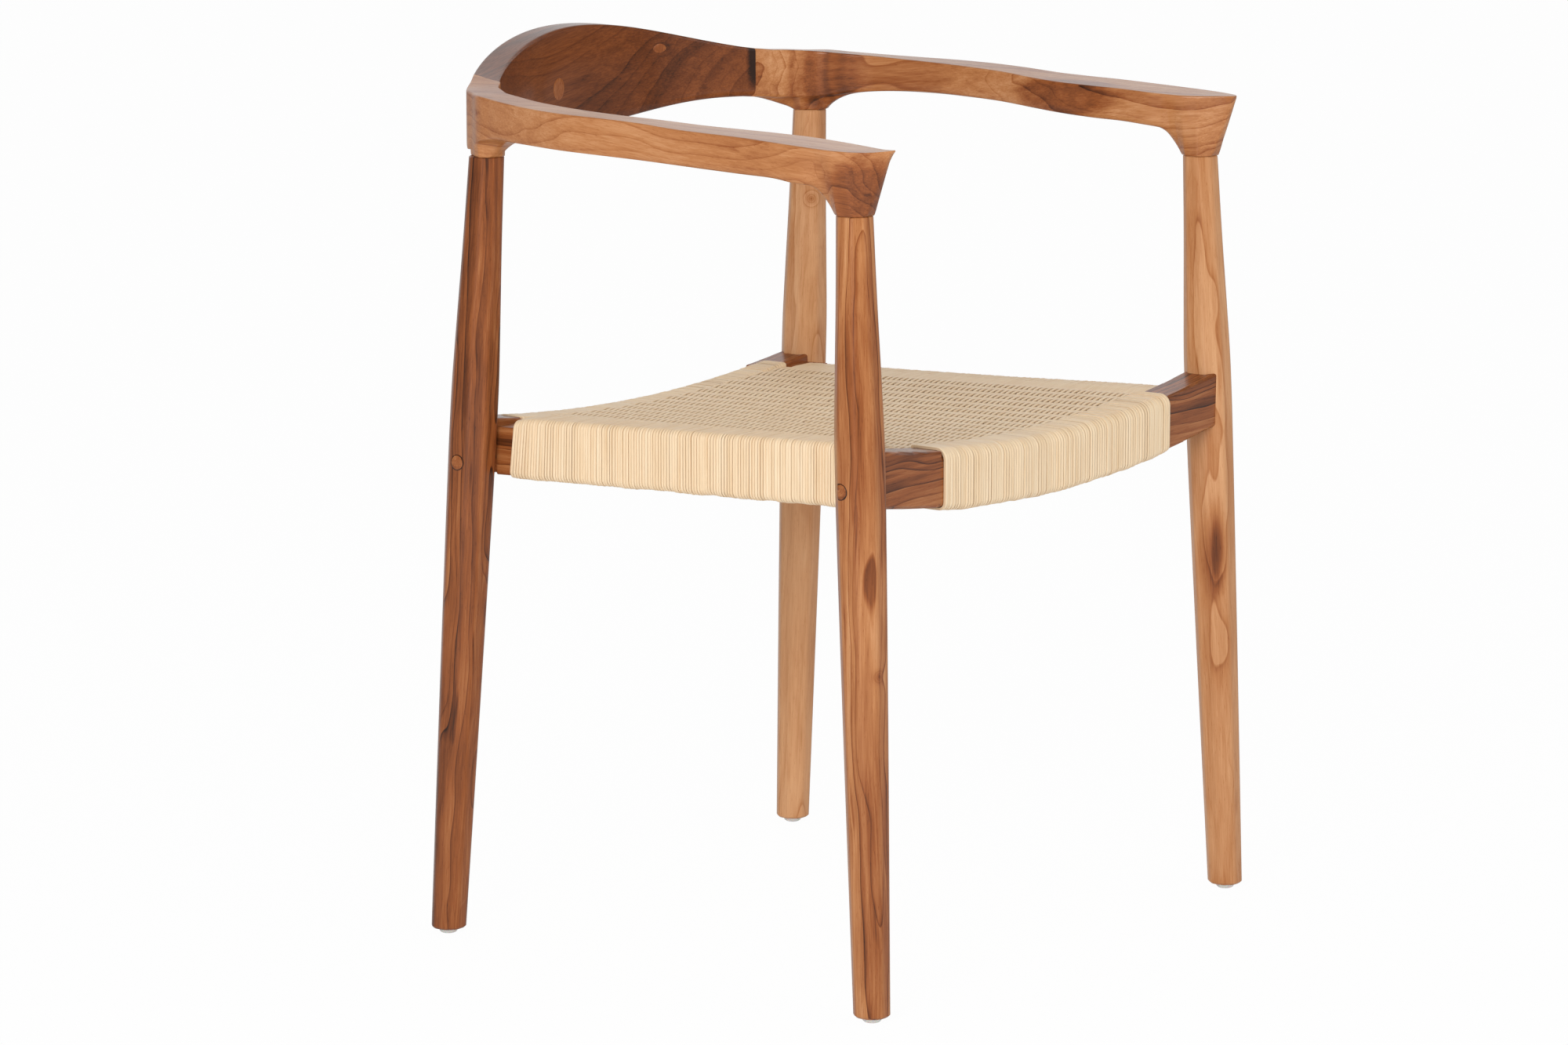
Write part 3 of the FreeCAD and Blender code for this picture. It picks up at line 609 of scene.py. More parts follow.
# The turns round the front and rear rails, of which every sixth and its neighbour run on across
# the seat as a pair
turn_pitch = 3.7
turn_thickness = 2.25
turn_count = 92
turns_per_pair = 6
pair_pitch = turns_per_pair * turn_pitch
pair_first = -164.0
pair_count = 16
rear_extra_left = 6
rear_extra_right = 4
weave_level = 0.9
strand_thickness = 1.25
cane_lap = 0.97
strand_step = 1.85
under_weft_step = 2.3 * strand_step
under_warp_step = 2 * strand_step
cane_section = ((-0.5, -1.0), (-0.5, -0.42), (-0.34, -0.1), (0.0, 0.0), (0.34, -0.1), (0.5, -0.42),
                (0.5, -1.0))
cane_random = np.random.default_rng(7)


def strand_mesh(path, across, out, widths, depth, tone, crown, seam_shade):
    """One cane strand: points, quads and facts (length run, place across, tone) along a path on
    its outer face. across points over its width, out away from what it lies on. crown is how
    domed it is, and the seam shade how far painted shade darkens its edges: up to 1 it paints the
    shade in the seams between strands, above 1 the deeper shade of a slit in the weave."""
    run = np.concatenate(([0], np.cumsum(np.linalg.norm(np.diff(path, axis=0), axis=1))))
    rows, facts = [], []
    for share, height in cane_section:
        lift = depth * (height if height == -1.0 else height * crown)
        rows.append(path + across * (widths * share)[:, None] + out * lift)
        facts.append(np.stack((run, 2 * share * seam_shade * np.ones(len(run)), np.full(len(run), tone)), axis=1))
    points, faces = skin(np.stack(rows, axis=1))
    return points, faces, np.stack(facts, axis=1).reshape(-1, 3)


def bundle(strands):
    """Many strands as one set of points, faces and facts."""
    points, faces, facts, start = [], [], [], 0
    for strand_points, strand_faces, strand_facts in strands:
        points.append(strand_points)
        facts.append(strand_facts)
        faces += [[start + corner for corner in face] for face in strand_faces]
        start += len(strand_points)
    return np.concatenate(points), faces, np.concatenate(facts)


def turn_path(inner, outer, low, high, shoulder, steps=8):
    """Flat path of one turn round a rail, as places outwards and up, from the top inner edge
    down the inner face, under, up the outer face and over the shoulder to the top again."""
    def arc(centre_out, centre_up, radius, start, end):
        sweep = np.radians(np.linspace(start, end, steps + 1))
        return [(centre_out + radius * math.cos(a), centre_up + radius * math.sin(a)) for a in sweep]

    def straight(start, end, count=4):
        start, end = np.array(start), np.array(end)
        return [tuple(start + (end - start) * i / count) for i in range(1, count)]

    start = (inner, high - 2 * inner_edge)
    path = [start]
    for corner in (arc(inner + under_edge, low + under_edge, under_edge, 180, 270),
                   arc(outer - under_edge, low + under_edge, under_edge, 270, 360),
                   arc(outer - shoulder, high - shoulder, shoulder, 0, 90),
                   arc(inner + inner_edge, high - inner_edge, inner_edge, 90, 180)[::2]):
        path += straight(path[-1], corner[0]) + corner
    return np.array(path + [start])


def turn_facing(path):
    """Directions away from the rail, square to the path."""
    way = np.gradient(path, axis=0)
    way /= np.linalg.norm(way, axis=1, keepdims=True)
    return np.stack((way[:, 1], -way[:, 0]), axis=1)


def grouped(count, low, high, run):
    """Random numbers between low and high that change slowly from one strand to the next."""
    loose = cane_random.normal(0, 1, count + 2 * run)
    held = np.convolve(loose, np.hanning(run + 2)[1:-1], "valid")[:count]
    held = (held - held.min()) / (held.max() - held.min())
    return low + (high - low) * held


weft_places = weft_front + weft_pitch * np.arange(weft_count + tucked_count)
weft_tones = 0.5 * cane_random.uniform(0, 1, len(weft_places)) + 0.5 * grouped(len(weft_places), 0, 1, 5)
weft_widths = cane_random.uniform(0.86, 1.06, len(weft_places))
weft_sway = grouped(len(weft_places), -0.3, 0.3, 4)
warp_pairs = pair_first + pair_pitch * np.arange(pair_count)
turn_places = pair_first + turn_pitch * (np.arange(turn_count) - 0.5)
turn_tones = 0.45 * cane_random.uniform(0, 1, turn_count) + 0.55 * grouped(turn_count, 0, 1, 5)
turn_widths = cane_random.uniform(0.8, 1.1, turn_count)
rear_places = np.concatenate((turn_places[0] - turn_pitch * np.arange(rear_extra_left, 0, -1), turn_places,
                              turn_places[-1] + turn_pitch * np.arange(1, rear_extra_right + 1)))
weave_slips = [(int(cane_random.integers(4, weft_count - 4)), float(cane_random.choice(warp_pairs)))
               for _ in range(slip_count)]


def eased(value, start, end):
    t = np.clip((value - start) / (end - start), 0, 1)
    return t * t * (3 - 2 * t)


def side_cover(x, y):
    """Height of the cane's outer face above the side rails' tops."""
    right = right_cover_rear + (right_cover_front - right_cover_rear) * eased(-y, 0, right_cover_run)
    return np.where(np.asarray(x) < 0, np.interp(y, left_cover_places, left_covers), right)


def wound(axis, outward, middle, flat, place, rise, lean, slant, width, tone, crown, seam_shade):
    """One turn as a strand, from its flat path. axis is 0 for a rail along X and 1 for one along
    Y, outward the sign of its outer side, and middle its place across. The turn is raised off the
    rail, leans along it like a wave, and slants towards its lower end."""
    facing = turn_facing(flat)
    high = flat[:, 1].max()
    hold = np.minimum(np.arange(len(flat))[::-1] / turn_lead, 1)
    flat = flat + facing * (rise * hold)[:, None]
    sink = (high - flat[:, 1]) / side_rail_height
    path, out, across = np.zeros((3, len(flat), 3))
    path[:, axis] = place + lean * np.sin(np.linspace(0, 9, len(flat))) * hold + slant * sink
    path[:, 1 - axis] = middle + outward * flat[:, 0]
    path[:, 2] = flat[:, 1]
    out[:, 1 - axis] = outward * facing[:, 0]
    out[:, 2] = facing[:, 1]
    across[:, axis] = 1.0
    return strand_mesh(path, across, out, np.full(len(flat), width), turn_thickness, tone, crown, seam_shade)


def side_turns(side):
    """The turns of cane round a side rail, each one a strand of the weave carried on."""
    strands = []
    shoulder = left_shoulder if side < 0 else right_shoulder
    end_slant = left_end_slant if side < 0 else 0.0
    count = weft_count + (right_extra if side > 0 else 0)
    lumps = grouped(count, -0.7, 0.5, 7)
    rises = cane_random.uniform(-0.2, 0.2, count)
    crowns = cane_random.uniform(0.3, 0.95, count)
    # How far painted shade darkens each turn's edges, in the seams between turns
    seam_shades = cane_random.uniform(0.66, 1.0, count)
    for index, place in enumerate(weft_places[:count]):
        top = side_top(place)
        flat = turn_path(side_inner - cane_cover, side_outer + cane_cover,
                         top - side_rail_height - cane_cover + lumps[index],
                         top + float(side_cover(side, place)), shoulder)
        slant = end_slant * math.exp((place - weft_places[weft_count - 1]) / left_slant_fade)
        strands.append(wound(1, side, 0.0, flat, place, rises[index], weft_sway[index], slant,
                             weft_pitch * cane_lap * weft_widths[index], weft_tones[index], crowns[index],
                             seam_shades[index]))
    return strands


def cross_turns(rail, places, cover, shoulder):
    """The turns of cane round the front or rear rail."""
    strands = []
    count = len(places)
    lumps = grouped(count, -0.7, 0.6, 9)
    rises = cane_random.uniform(-0.25, 0.2, count)
    crowns = cane_random.uniform(0.12, 0.5, count) + (cane_random.random(count) > 0.8) * 0.4
    # How far painted shade darkens each turn's edges, in the seams between turns
    seam_shades = cane_random.uniform(0.6, 0.82, count) + (cane_random.random(count) > 0.75) * 0.15
    tones = np.interp(places, turn_places, turn_tones)
    for index, place in enumerate(places):
        top = float(rail.top_at(place))
        flat = turn_path(-rail_half_thickness - cane_cover, rail_half_thickness + cane_cover,
                         top - rail_height - cane_cover - 0.5 + lumps[index], top + cover, shoulder)
        strands.append(wound(0, rail.outward, rail.middle, flat, place, rises[index],
                             0.3 * math.sin(0.9 * index), 0.0,
                             turn_pitch * cane_lap * np.interp(place, turn_places, turn_widths), tones[index],
                             crowns[index], seam_shades[index]))
    return strands


def woven(axis, x, y, z, layer, widths, tone, crown, seam_shade):
    """A strand of the weave along a path. axis is 0 for one along Y, whose width lies along X,
    and 1 for one along X. It faces up in the top layer and down in the layer under the seat."""
    path = np.stack((x, y, z), axis=1)
    across = np.zeros_like(path)
    across[:, axis] = 1.0
    out = np.cross(np.gradient(path, axis=0), across)
    out *= np.sign(out[:, 2:3]) * layer
    out /= np.linalg.norm(out, axis=1, keepdims=True)
    return strand_mesh(path, across, out, widths, strand_thickness, tone, crown, seam_shade)


def layer_height(x, y, layer):
    """Height of the middle of the woven layer: 1 on top of the rails, -1 under them."""
    share = (np.abs(x) / lap_place) ** 4
    if layer > 0:
        return seat_height(x, y) - side_rail_drop * share + weave_level
    drop = (side_rail_drop + side_rail_height - rail_height) * share
    return seat_height(x, y) - drop - rail_height - weave_level


def rim_height(x, y, layer):
    """Height of the strands' outer face where they lie on the side rails."""
    if layer > 0:
        return side_top(y) + side_cover(x, y)
    return side_top(y) - side_rail_height - cane_cover


def wefts(rows, layer, step):
    """Single strands across the seat. They lie close and level between the pairs, and rise over
    one pair and dive under the next. The last few are tucked down inside the side rails: an end
    that is laid lies on its rail instead."""
    strands = []
    # How deep the painted shade of each slit is, row by pair
    slit_shade_strengths = cane_random.uniform(-1.2, 1.0, (len(weft_places), pair_count))
    for row in rows:
        ends = (-tuck_place if row >= weft_count else -lap_place,
                tuck_place if row >= weft_count + right_extra else lap_place)
        x = np.linspace(*ends, int((ends[1] - ends[0]) / step) + 1)
        laid = np.where(x < 0, row < weft_count, row < weft_count + right_extra)
        beyond = np.maximum(warp_pairs[0] - x, x - warp_pairs[-1])
        plain = eased(beyond, pair_pitch * 0.25, pair_pitch * 0.5)
        rim = eased(np.abs(x), abs(warp_pairs[-1]) + 6.0, lap_place - 2.0) * laid
        turn = np.cos(math.pi * (x - pair_first) / pair_pitch) * (-1) ** row
        wave = np.sign(turn) * np.abs(turn) ** wave_power * (1 - plain)
        tone = weft_tones[row]
        sway = weft_sway[row] * np.sin(x / 31 + 0.5 * row) + 0.1 * np.sin(x / 9 + 6 * tone)
        for slip_row, slip_place in weave_slips:
            if slip_row == row and layer > 0:
                sway = sway + slip_size * np.exp(-((x - slip_place) / slip_reach) ** 2)
        y = weft_places[row] + sway * (1 - rim)
        z = layer_height(x, y, layer) + layer * (weft_swing * wave + strand_thickness / 2)
        z = z * (1 - rim) + rim_height(x, y, layer) * rim
        z = z - layer * tuck_depth * eased(np.abs(x), tuck_place - tuck_run, tuck_place) * (1 - laid)
        over, under = np.clip(wave, 0, 1) ** pinch_power, np.clip(-wave, 0, 1) ** pinch_power
        widths = weft_pitch * (1.0 + weft_spread * over - weft_pinch * under) * weft_widths[row] ** 0.5
        # Painted shade on the edges, deepest where the strand dives under a pair, for the shade in the slits
        # between floats
        seam_shade = 0.8 + 0.15 * over + (0.6 + 0.3 * np.interp(x, warp_pairs, slit_shade_strengths[row])) * under
        strands.append(woven(1, x, y, z, layer, widths, 0.6 * tone, 0.95, seam_shade))
    return strands


def warps(pairs, layer, step):
    """The spaced pairs of strands from the front rail to the rear one."""
    strands = []
    front_end = front_rail.inner - cane_cover + 1.0
    rear_end = rear_rail.inner + cane_cover - 1.0
    covers = (cane_cover, rear_cover) if layer > 0 else (cane_cover, cane_cover)
    y = np.linspace(front_end - cane_cover, rear_end + cane_cover, int((rear_end - front_end) / step))
    for pair in pairs:
        for hand in (0, 1):
            index = turns_per_pair * pair + hand
            rim = np.maximum(eased(-y, -weft_places[1], -front_end), eased(y, rear_end - 8, rear_end))
            x = turn_places[index] + 0 * y
            lift = (np.where(y < 0, *covers) - weave_level - strand_thickness / 2) * rim
            z = layer_height(x, y, layer) + layer * (strand_thickness / 2 + lift)
            widths = np.full(len(y), turn_pitch * cane_lap * turn_widths[index])
            # Painted shade on the pairs' edges between their ends, where they lie in the slits under the
            # single strands
            strands.append(woven(0, x, y, z, layer, widths, turn_tones[index], 0.8, 0.9 + 0.8 * (1 - rim)))
    return strands


def cane_finish():
    """Peeled cane: pale and satin, browner where a strand was nearer the core or is bruised, with painted
    shade on the strands' edges.
    """
    finish = Finish("cane", Coat_Weight=0.12, Coat_Roughness=0.25)
    facts = finish.node("ShaderNodeAttribute", {"attribute_name": "cane"}, {}, "Vector")
    along = finish.node("ShaderNodeSeparateXYZ", {}, {0: facts})
    across, tone = along.other(1), along.other(2)
    fibre = finish.noise(finish.vector(along / 26, across * 2.6, tone * 90), 3.0, 0.6)
    patch = finish.noise(finish.vector(along / 60, across * 0.3, tone * 60), 2.0, 0.5)
    speck = finish.noise(finish.vector(along / 2.2, across * 1.4, tone * 130), 2.0, 0.6)
    # Painted shade towards each strand's edges, in the seams between strands
    edge = finish.fade(across.math("ABSOLUTE"), 0.62, 1.0)
    age = tone * 0.34 + (patch - 0.5) * 0.9 + (fibre - 0.5) * 0.5 + 0.12
    shade = finish.node("ShaderNodeValToRGB", {"stops": (
        (0.0, colour(246, 223, 189)), (0.35, colour(239, 211, 173)), (0.7, colour(223, 189, 145)),
        (1.0, colour(192, 149, 101)))}, {"Fac": age})
    # Brown specks of the cane's own, then painted shade on the edges in the seams, and deeper painted shade
    # beyond the edges where a strand lies in a slit of the weave
    for factor, stain in ((finish.fade(speck, 0.7, 0.82) * 0.45, colour(150, 104, 62)),
                          (edge * 0.5, colour(160, 122, 84)),
                          (finish.fade(across.math("ABSOLUTE"), 1.0, 1.4) * 0.8, colour(112, 76, 42))):
        shade = finish.node("ShaderNodeMix", {"data_type": "RGBA"}, {"Factor": factor, 6: shade, 7: stain}, 2)
    finish.feed("Base Color", shade)
    finish.feed("Roughness", fibre * 0.2 + 0.36)
    finish.emboss(fibre, 0.3, 0.15)
    return finish.material


cane = cane_finish()


def lay_cane(name, node, strands):
    points, faces, facts = bundle(strands)
    make_piece(name, points, faces, cane, node, cane=facts)


for side, hand in hands:
    lay_cane(f"{hand}_cane_turns", f"{hand}_wrap", side_turns(side))
lay_cane("front_cane_turns", "front_wrap", cross_turns(front_rail, turn_places, cane_cover, front_shoulder))
lay_cane("rear_cane_turns", "rear_wrap", cross_turns(rear_rail, rear_places, rear_cover, rear_shoulder))
third = weft_count // 3
for place, rows in (("front", range(third)), ("middle", range(third, 2 * third)),
                    ("rear", range(2 * third, len(weft_places)))):
    lay_cane(f"seat_cross_strands_{place}", "seat_panel", wefts(rows, 1, strand_step))
lay_cane("seat_long_strands", "seat_panel", warps(range(pair_count), 1, strand_step))
lay_cane("under_cross_strands", "under_weave", wefts(range(len(weft_places)), -1, under_weft_step))
lay_cane("under_long_strands", "under_weave", warps(range(pair_count), -1, under_warp_step))
refinish("cane_tacks", nail_finish.material)


# The arms. Each is carved from one block of teak that swells down into round-cornered sockets
# over its front and rear legs. It meets the backrest behind the rear leg in a doweled butt joint.

ring_width = 30.0
arm_step = 3.2
arm_fine_step = 1.3
arm_fine_reach = 60.0

# How far along the arm a post's swelling carries: its drop to the leg, the narrowing of the
# arm's lower side to the octagon, and the pull of that side over the leg's middle
post_drop_reach_back = 15.0
post_drop_reach_arm = 13.0
post_narrow_reach = 7.0
post_pull_reach_back = 16.0
post_pull_reach_arm = 8.0
post_limit = 120.0

# The keel is the narrow lower side: its half width as a share of the arm's, and the ridge that
# runs forward from the rear post
keel_share = 0.25
keel_most_share = 0.42
keel_margin = 0.5
ridge_half = 5.0
ridge_place = 0.68
ridge_reach = 42.0

# The front post: the facet behind it up to a hollow corner, and the straight edge in front of it
# up to the tip, as places towards the front and heights
facet_foot_half = 6.2
facet_head_half = 7.0
corner_place = -171.0
corner_height = 667.3
corner_fade = 5.0
corner_widening = 7.0
corner_widening_run = 18.0
corner_limit = 100.0
front_pull_start = 33.0
front_pull_reach = 14.0
front_edge_places = (215.0, 217.0, 236.0)
front_edge_heights = (647.5, 651.0, 701.0)
tip_half = 1.2
tip_run = 19.0

# Where the shoulders and coves change near the posts: distances at which a change starts to fade
# and how far it fades. A cove's place and depth are shares of the way from shoulder to keel.
shoulder_inset = 0.4
inset_start = 20.0
inset_reach = 10.0
inset_limit = 60.0
front_start = 24.0
front_reach = 12.0
front_limit = 90.0
rear_start = 6.0
rear_reach = 10.0
ring_reach = 6.0
cove_place = 0.62
cove_place_rear = 0.13
cove_depth = 0.42
cove_depth_front = 0.2
cove_depth_rear = -0.17

full_radius_width = 30.0
arm_edge_radius = 1.7
arm_low_radius = 6.5
rear_low_radius = 0.8
cove_radius = 9.0
rear_cove_radius = 6.0
keel_radius = 8.0
ring_edge_radius = 1.0

# Rows from the back joint to the front tip: outer x and y, inner x and y, and the heights of
# the outer and inner top edges and of the outer and inner lower edges
arm_rows = (
    (172, 254, 182, 216.5, 724.7, 720.9, 678.4, 678.5),
    (191, 242, 187, 213, 720.8, 720.7, 678.2, 678.3),
    (209.5, 230.5, 193, 209, 718.3, 719.8, 674.0, 678.0),
    (226, 217.5, 204, 200, 717.5, 719.3, 669.0, 677.6),
    (238, 202, 215, 187, 717.0, 718.5, 672.6, 677.6),
    (249.5, 188, 223, 176.5, 717.0, 717.6, 679.0, 678.4),
    (258, 167, 230, 158, 715.6, 716.4, 682.4, 680.8),
    (268, 138, 240, 131, 714.0, 714.8, 682.7, 683.4),
    (276, 111, 245, 103, 712.9, 713.2, 682.3, 685.0),
    (283, 78, 248.5, 74, 712.0, 711.8, 681.5, 685.2),
    (284.6, 34, 248.6, 34, 711.0, 710.0, 680.3, 683.8),
    (283.4, -5, 244.8, -3, 709.3, 708.3, 679.0, 682.0),
    (283.5, -40, 237.5, -40, 706.8, 705.7, 677.6, 679.3),
    (283.5, -70, 232, -70, 705.6, 704.3, 676.3, 677.3),
    (283.8, -105, 229.8, -105, 704.5, 703.3, 675.0, 675.4),
    (285, -138, 230, -138, 702.8, 702.3, 674.0, 674.2),
    (286, -168, 231, -168, 701.2, 700.6, 671.0, 671.6),
    (285, -196, 236.5, -196, 699.8, 699.4, 676.0, 669.0),
    (280.5, -213, 244, -212.5, 699.2, 699.4, 686.0, 671.0),
    (272, -226, 251, -226, 699.2, 699.8, 693.0, 686.5),
    (258, -235.6, 253.5, -235.6, 700.0, 700.1, 698.7, 698.7),
)


def octagon_chord(distance, half):
    """Half width of an octagon across, at a distance from its middle along a flat-to-flat line."""
    flat = half * math.tan(math.pi / 8)
    return np.interp(np.abs(distance), (0, flat, half), (half, half, flat))


def mixed(first, second, share):
    return first * (1 - share) + second * share


def fading(distance, reach):
    """1 up to a distance of 0, and falling off beyond it."""
    return np.exp(-np.maximum(distance, 0) / reach)


def arm_stations():
    """The rows laid smoothly along the arm, closer together near the posts, and their places."""
    rows = np.array(arm_rows, float)
    middles = (rows[:, 0:2] + rows[:, 2:4]) / 2
    runs = np.concatenate(([0], np.cumsum(np.linalg.norm(np.diff(middles, axis=0), axis=1))))
    places = [0.0]
    while places[-1] < runs[-1]:
        middle = middles[np.searchsorted(runs, places[-1])]
        near_post = min(np.linalg.norm(middle - joint[:2]) for joint in (front_joint, rear_joint))
        places.append(places[-1] + (arm_fine_step if near_post < arm_fine_reach else arm_step))
    places = np.array(places[:-1] + [runs[-1]])
    return laid_smoothly(runs, rows, places), places


def arm_outlines():
    """Outlines of eight corners: the top edges, the shoulders, the coves and the keel's edges."""
    rows, places = arm_stations()
    outer, inner = rows[:, 0:2], rows[:, 2:4]
    top_out, top_in, low_out, low_in = rows[:, 4:].T
    middle = (outer + inner) / 2
    width = np.linalg.norm(inner - outer, axis=1)
    inward = (inner - outer) / width[:, None]
    low = (low_out + low_in) / 2
    half = ring_width / 2
    keel_middle, keel_half, keel_low = width / 2, width * keel_share, low.copy()

    # Rear post: the lower side hollows out to the octagon over the leg
    along = places - places[np.argmin(np.linalg.norm(middle - rear_joint[:2], axis=1))]
    beyond = np.abs(along) - half
    share = fading(beyond, np.where(along < 0, post_drop_reach_back, post_drop_reach_arm))
    share[np.abs(along) > post_limit] = 0
    keel_low = mixed(keel_low, rear_joint[2], share)
    ridge = np.exp(-(np.maximum(beyond, 0) / ridge_reach) ** 2) * ((along > 0) & (along < post_limit))
    keel_half = mixed(keel_half, ridge_half, ridge)
    keel_middle = mixed(keel_middle, width * ridge_place, ridge)
    keel_half = mixed(keel_half, octagon_chord(along, half), fading(beyond, post_narrow_reach))
    pull = fading(beyond, np.where(along < 0, post_pull_reach_back, post_pull_reach_arm))
    keel_middle = mixed(keel_middle, ((rear_joint[:2] - outer) * inward).sum(axis=1), pull)

    # Front post: a straight rear facet from the octagon up to the hollow corner, and a straight
    # front edge from the octagon to the tip
    along_y = middle[:, 1] - front_joint[1]
    corner_run = corner_place - front_joint[1]
    facet = (along_y - half) / (corner_run - half)
    at_ring = np.abs(along_y) <= half
    on_facet = (along_y > half) & (facet < 1)
    past = (facet >= 1) & (along_y < corner_limit)
    before = along_y < -half
    rise = front_joint[2] + (corner_height - front_joint[2]) * facet
    past_low = keel_low - (low - corner_height) * fading(along_y - corner_run, corner_fade)
    front_edge = np.clip(np.interp(-middle[:, 1], front_edge_places, front_edge_heights), front_joint[2], low)
    parts = (at_ring, on_facet, past, before)
    keel_low = np.select(parts, (front_joint[2], rise, past_low, front_edge), keel_low)
    widen = np.clip((along_y - corner_run) / corner_widening_run, 0, 1)
    tip = np.clip((-front_edge_places[0] - middle[:, 1]) / tip_run, 0, 1)
    halves = (octagon_chord(along_y, half), mixed(facet_foot_half, facet_head_half, facet),
              facet_head_half + corner_widening * widen, mixed(facet_foot_half, tip_half, tip))
    keel_half = np.select(parts, halves, keel_half)
    pull = fading(along_y - front_pull_start, front_pull_reach) * (along_y > -half * 4)
    keel_middle = mixed(keel_middle, ((front_joint[:2] - outer) * inward).sum(axis=1), pull)
    keel_half = np.minimum(keel_half, width * keel_most_share)
    keel_middle = np.clip(keel_middle, keel_half + keel_margin, width - keel_half - keel_margin)

    # The shoulders move in at the front post, and the coves deepen there and ease at the rear one
    inset = fading(np.abs(along_y) - inset_start, inset_reach) * (along_y < inset_limit) * shoulder_inset
    near_front = fading(np.abs(along_y) - front_start, front_reach) * (along_y < front_limit)
    near_rear = fading(beyond - rear_start, rear_reach)
    near_ring = fading(np.minimum(np.abs(along), np.abs(along_y)) - half, ring_reach)
    keel_out, keel_in = keel_middle - keel_half, keel_middle + keel_half
    shoulder_out = keel_out * inset
    shoulder_in = width - (width - keel_in) * inset
    inward_share = cove_place + cove_place_rear * near_rear
    hollow = cove_depth + cove_depth_front * near_front + cove_depth_rear * near_rear
    corners = []
    for across, height in ((np.zeros(len(width)), top_out), (shoulder_out, low_out),
                           (mixed(shoulder_out, keel_out, inward_share), mixed(low_out, keel_low, hollow)),
                           (keel_out, keel_low), (keel_in, keel_low),
                           (mixed(shoulder_in, keel_in, inward_share), mixed(low_in, keel_low, hollow)),
                           (shoulder_in, low_in), (width, top_in)):
        corners.append(np.column_stack((outer + inward * across[:, None], height)))
    size = np.minimum(width / full_radius_width, 1)
    radii = (arm_edge_radius * size, mixed(arm_low_radius, rear_low_radius, near_rear) * size,
             mixed(cove_radius, rear_cove_radius, near_rear) * size,
             mixed(keel_radius, ring_edge_radius, near_ring))
    return eased_outlines(np.stack(corners, axis=1), np.stack(radii + radii[::-1], axis=1))


# Dark arcs at the right arm's root: the inner and outer radius and the strength of each
root_arcs = ((48, 55, 0.06), (62, 67, 0.09), (74, 83, 0.08), (93, 98, 0.09), (108, 116, 0.07))
arm_woods = {
    "right": dict(pith=(150, 150, 700), grain=(0.2, -1, 0.1), tone=0.39, ring=9.0, line=0.24, cloud=0.22,
                  streak=0.16, wander=10.0,
                  patches=(((236, -75, 692), (30, 52, 15), 0.3), ((226, 166, 700), (24, 24, 60), 0.14),
                           ((196, 205, 700), (9, 9, 50), -0.14)),
                  bands=tuple(((245, 105, 700), (0.8, 0.6, 0), inside, outside, strength, (214, 186, 700), 62)
                              for inside, outside, strength in root_arcs)),
    "left": dict(pith=(-230, 40, 760), grain=(0.1, -1, -0.1), tone=0.37, ring=10.0, line=0.18, cloud=0.2,
                 streak=0.2, wander=8.0, knots=(((-280, -212, 682), 6, 0.3),),
                 patches=(((-270, -212, 662), (40, 30, 36), 0.3),)),
}
arm_shape = arm_outlines()
for side, hand in hands:
    points, faces = skin(on_side(arm_shape, side))
    make_piece(f"{hand}_arm_carved", points, faces, teak(f"{hand}_arm_teak", **arm_woods[hand]),
               f"{hand}_arm")


# The backrest. A bent teak board, sawn and shaped from thick stock, tall in the middle and no
# deeper than the arms where it meets them. Hidden dowels cross both joints, and two wood fillers
# are let into its inner face.

back_radius = 325.9
back_centre = -37.4
back_half = 12.5
back_taper = 1.25
joint_outer_angle = 30.55
joint_inner_angle = 35.63
joint_middle_angle = 33.0
back_taper_reach = 32.0
back_end_top = 715.5
back_crest = 36.5
back_crest_reach = 46.0
back_end_bottom = 678.5
back_belly = 17.5
back_belly_reach = 32.0
back_inner_rise = 1.0
back_edge_radius = 2.2
back_low_radius = 7.0
back_stations = 150


def bell(angle, reach):
    """1 in the middle, eased to 0 at the reach."""
    return (1 + np.cos(math.pi * np.clip(np.abs(angle) / reach, 0, 1))) / 2


def back_top(angle):
    return back_end_top + back_crest * bell(angle, back_crest_reach)


def back_bottom(angle):
    return back_end_bottom - back_belly * bell(angle, back_belly_reach)


def back_point(angle, offset, height):
    reach = back_radius + offset
    turn = np.radians(angle)
    return np.stack((reach * np.sin(turn), back_centre + reach * np.cos(turn), height + 0 * turn), axis=-1)


share = np.linspace(-1, 1, back_stations)
outer_angle, inner_angle = share * joint_outer_angle, share * joint_inner_angle
taper = back_taper * bell(share * joint_middle_angle, back_taper_reach)
inner_rise = back_inner_rise * np.sin(math.pi * np.clip(np.abs(inner_angle) / back_crest_reach, 0, 1) ** 2)
back_corners = np.stack((
    back_point(outer_angle, back_half, back_top(outer_angle)),
    back_point(outer_angle, back_half - taper, back_bottom(outer_angle)),
    back_point(inner_angle, -back_half + taper, back_bottom(inner_angle)),
    back_point(inner_angle, -back_half, back_top(inner_angle) + inner_rise)), axis=1)
back_radii = (back_edge_radius, back_low_radius, back_low_radius, back_edge_radius)
back_wood = teak("backrest_teak", (-40, 170, 640), (1, 0.1, 0.14), 0.75, 9.0, 0.11, 0.14, 0.12, 3.0,
                 (((104, 256, 726), 5, 0.35),), (((181, 218, 716), (7, 12, 26), 0.3),))
points, faces = skin(eased_outlines(back_corners, back_radii))
make_piece("backrest_shaped", points, faces, back_wood, "backrest")
for _, hand in hands:
    for level in ("lower", "upper"):
        refinish(f"{hand}_{level}_back_dowel", dowel_wood)


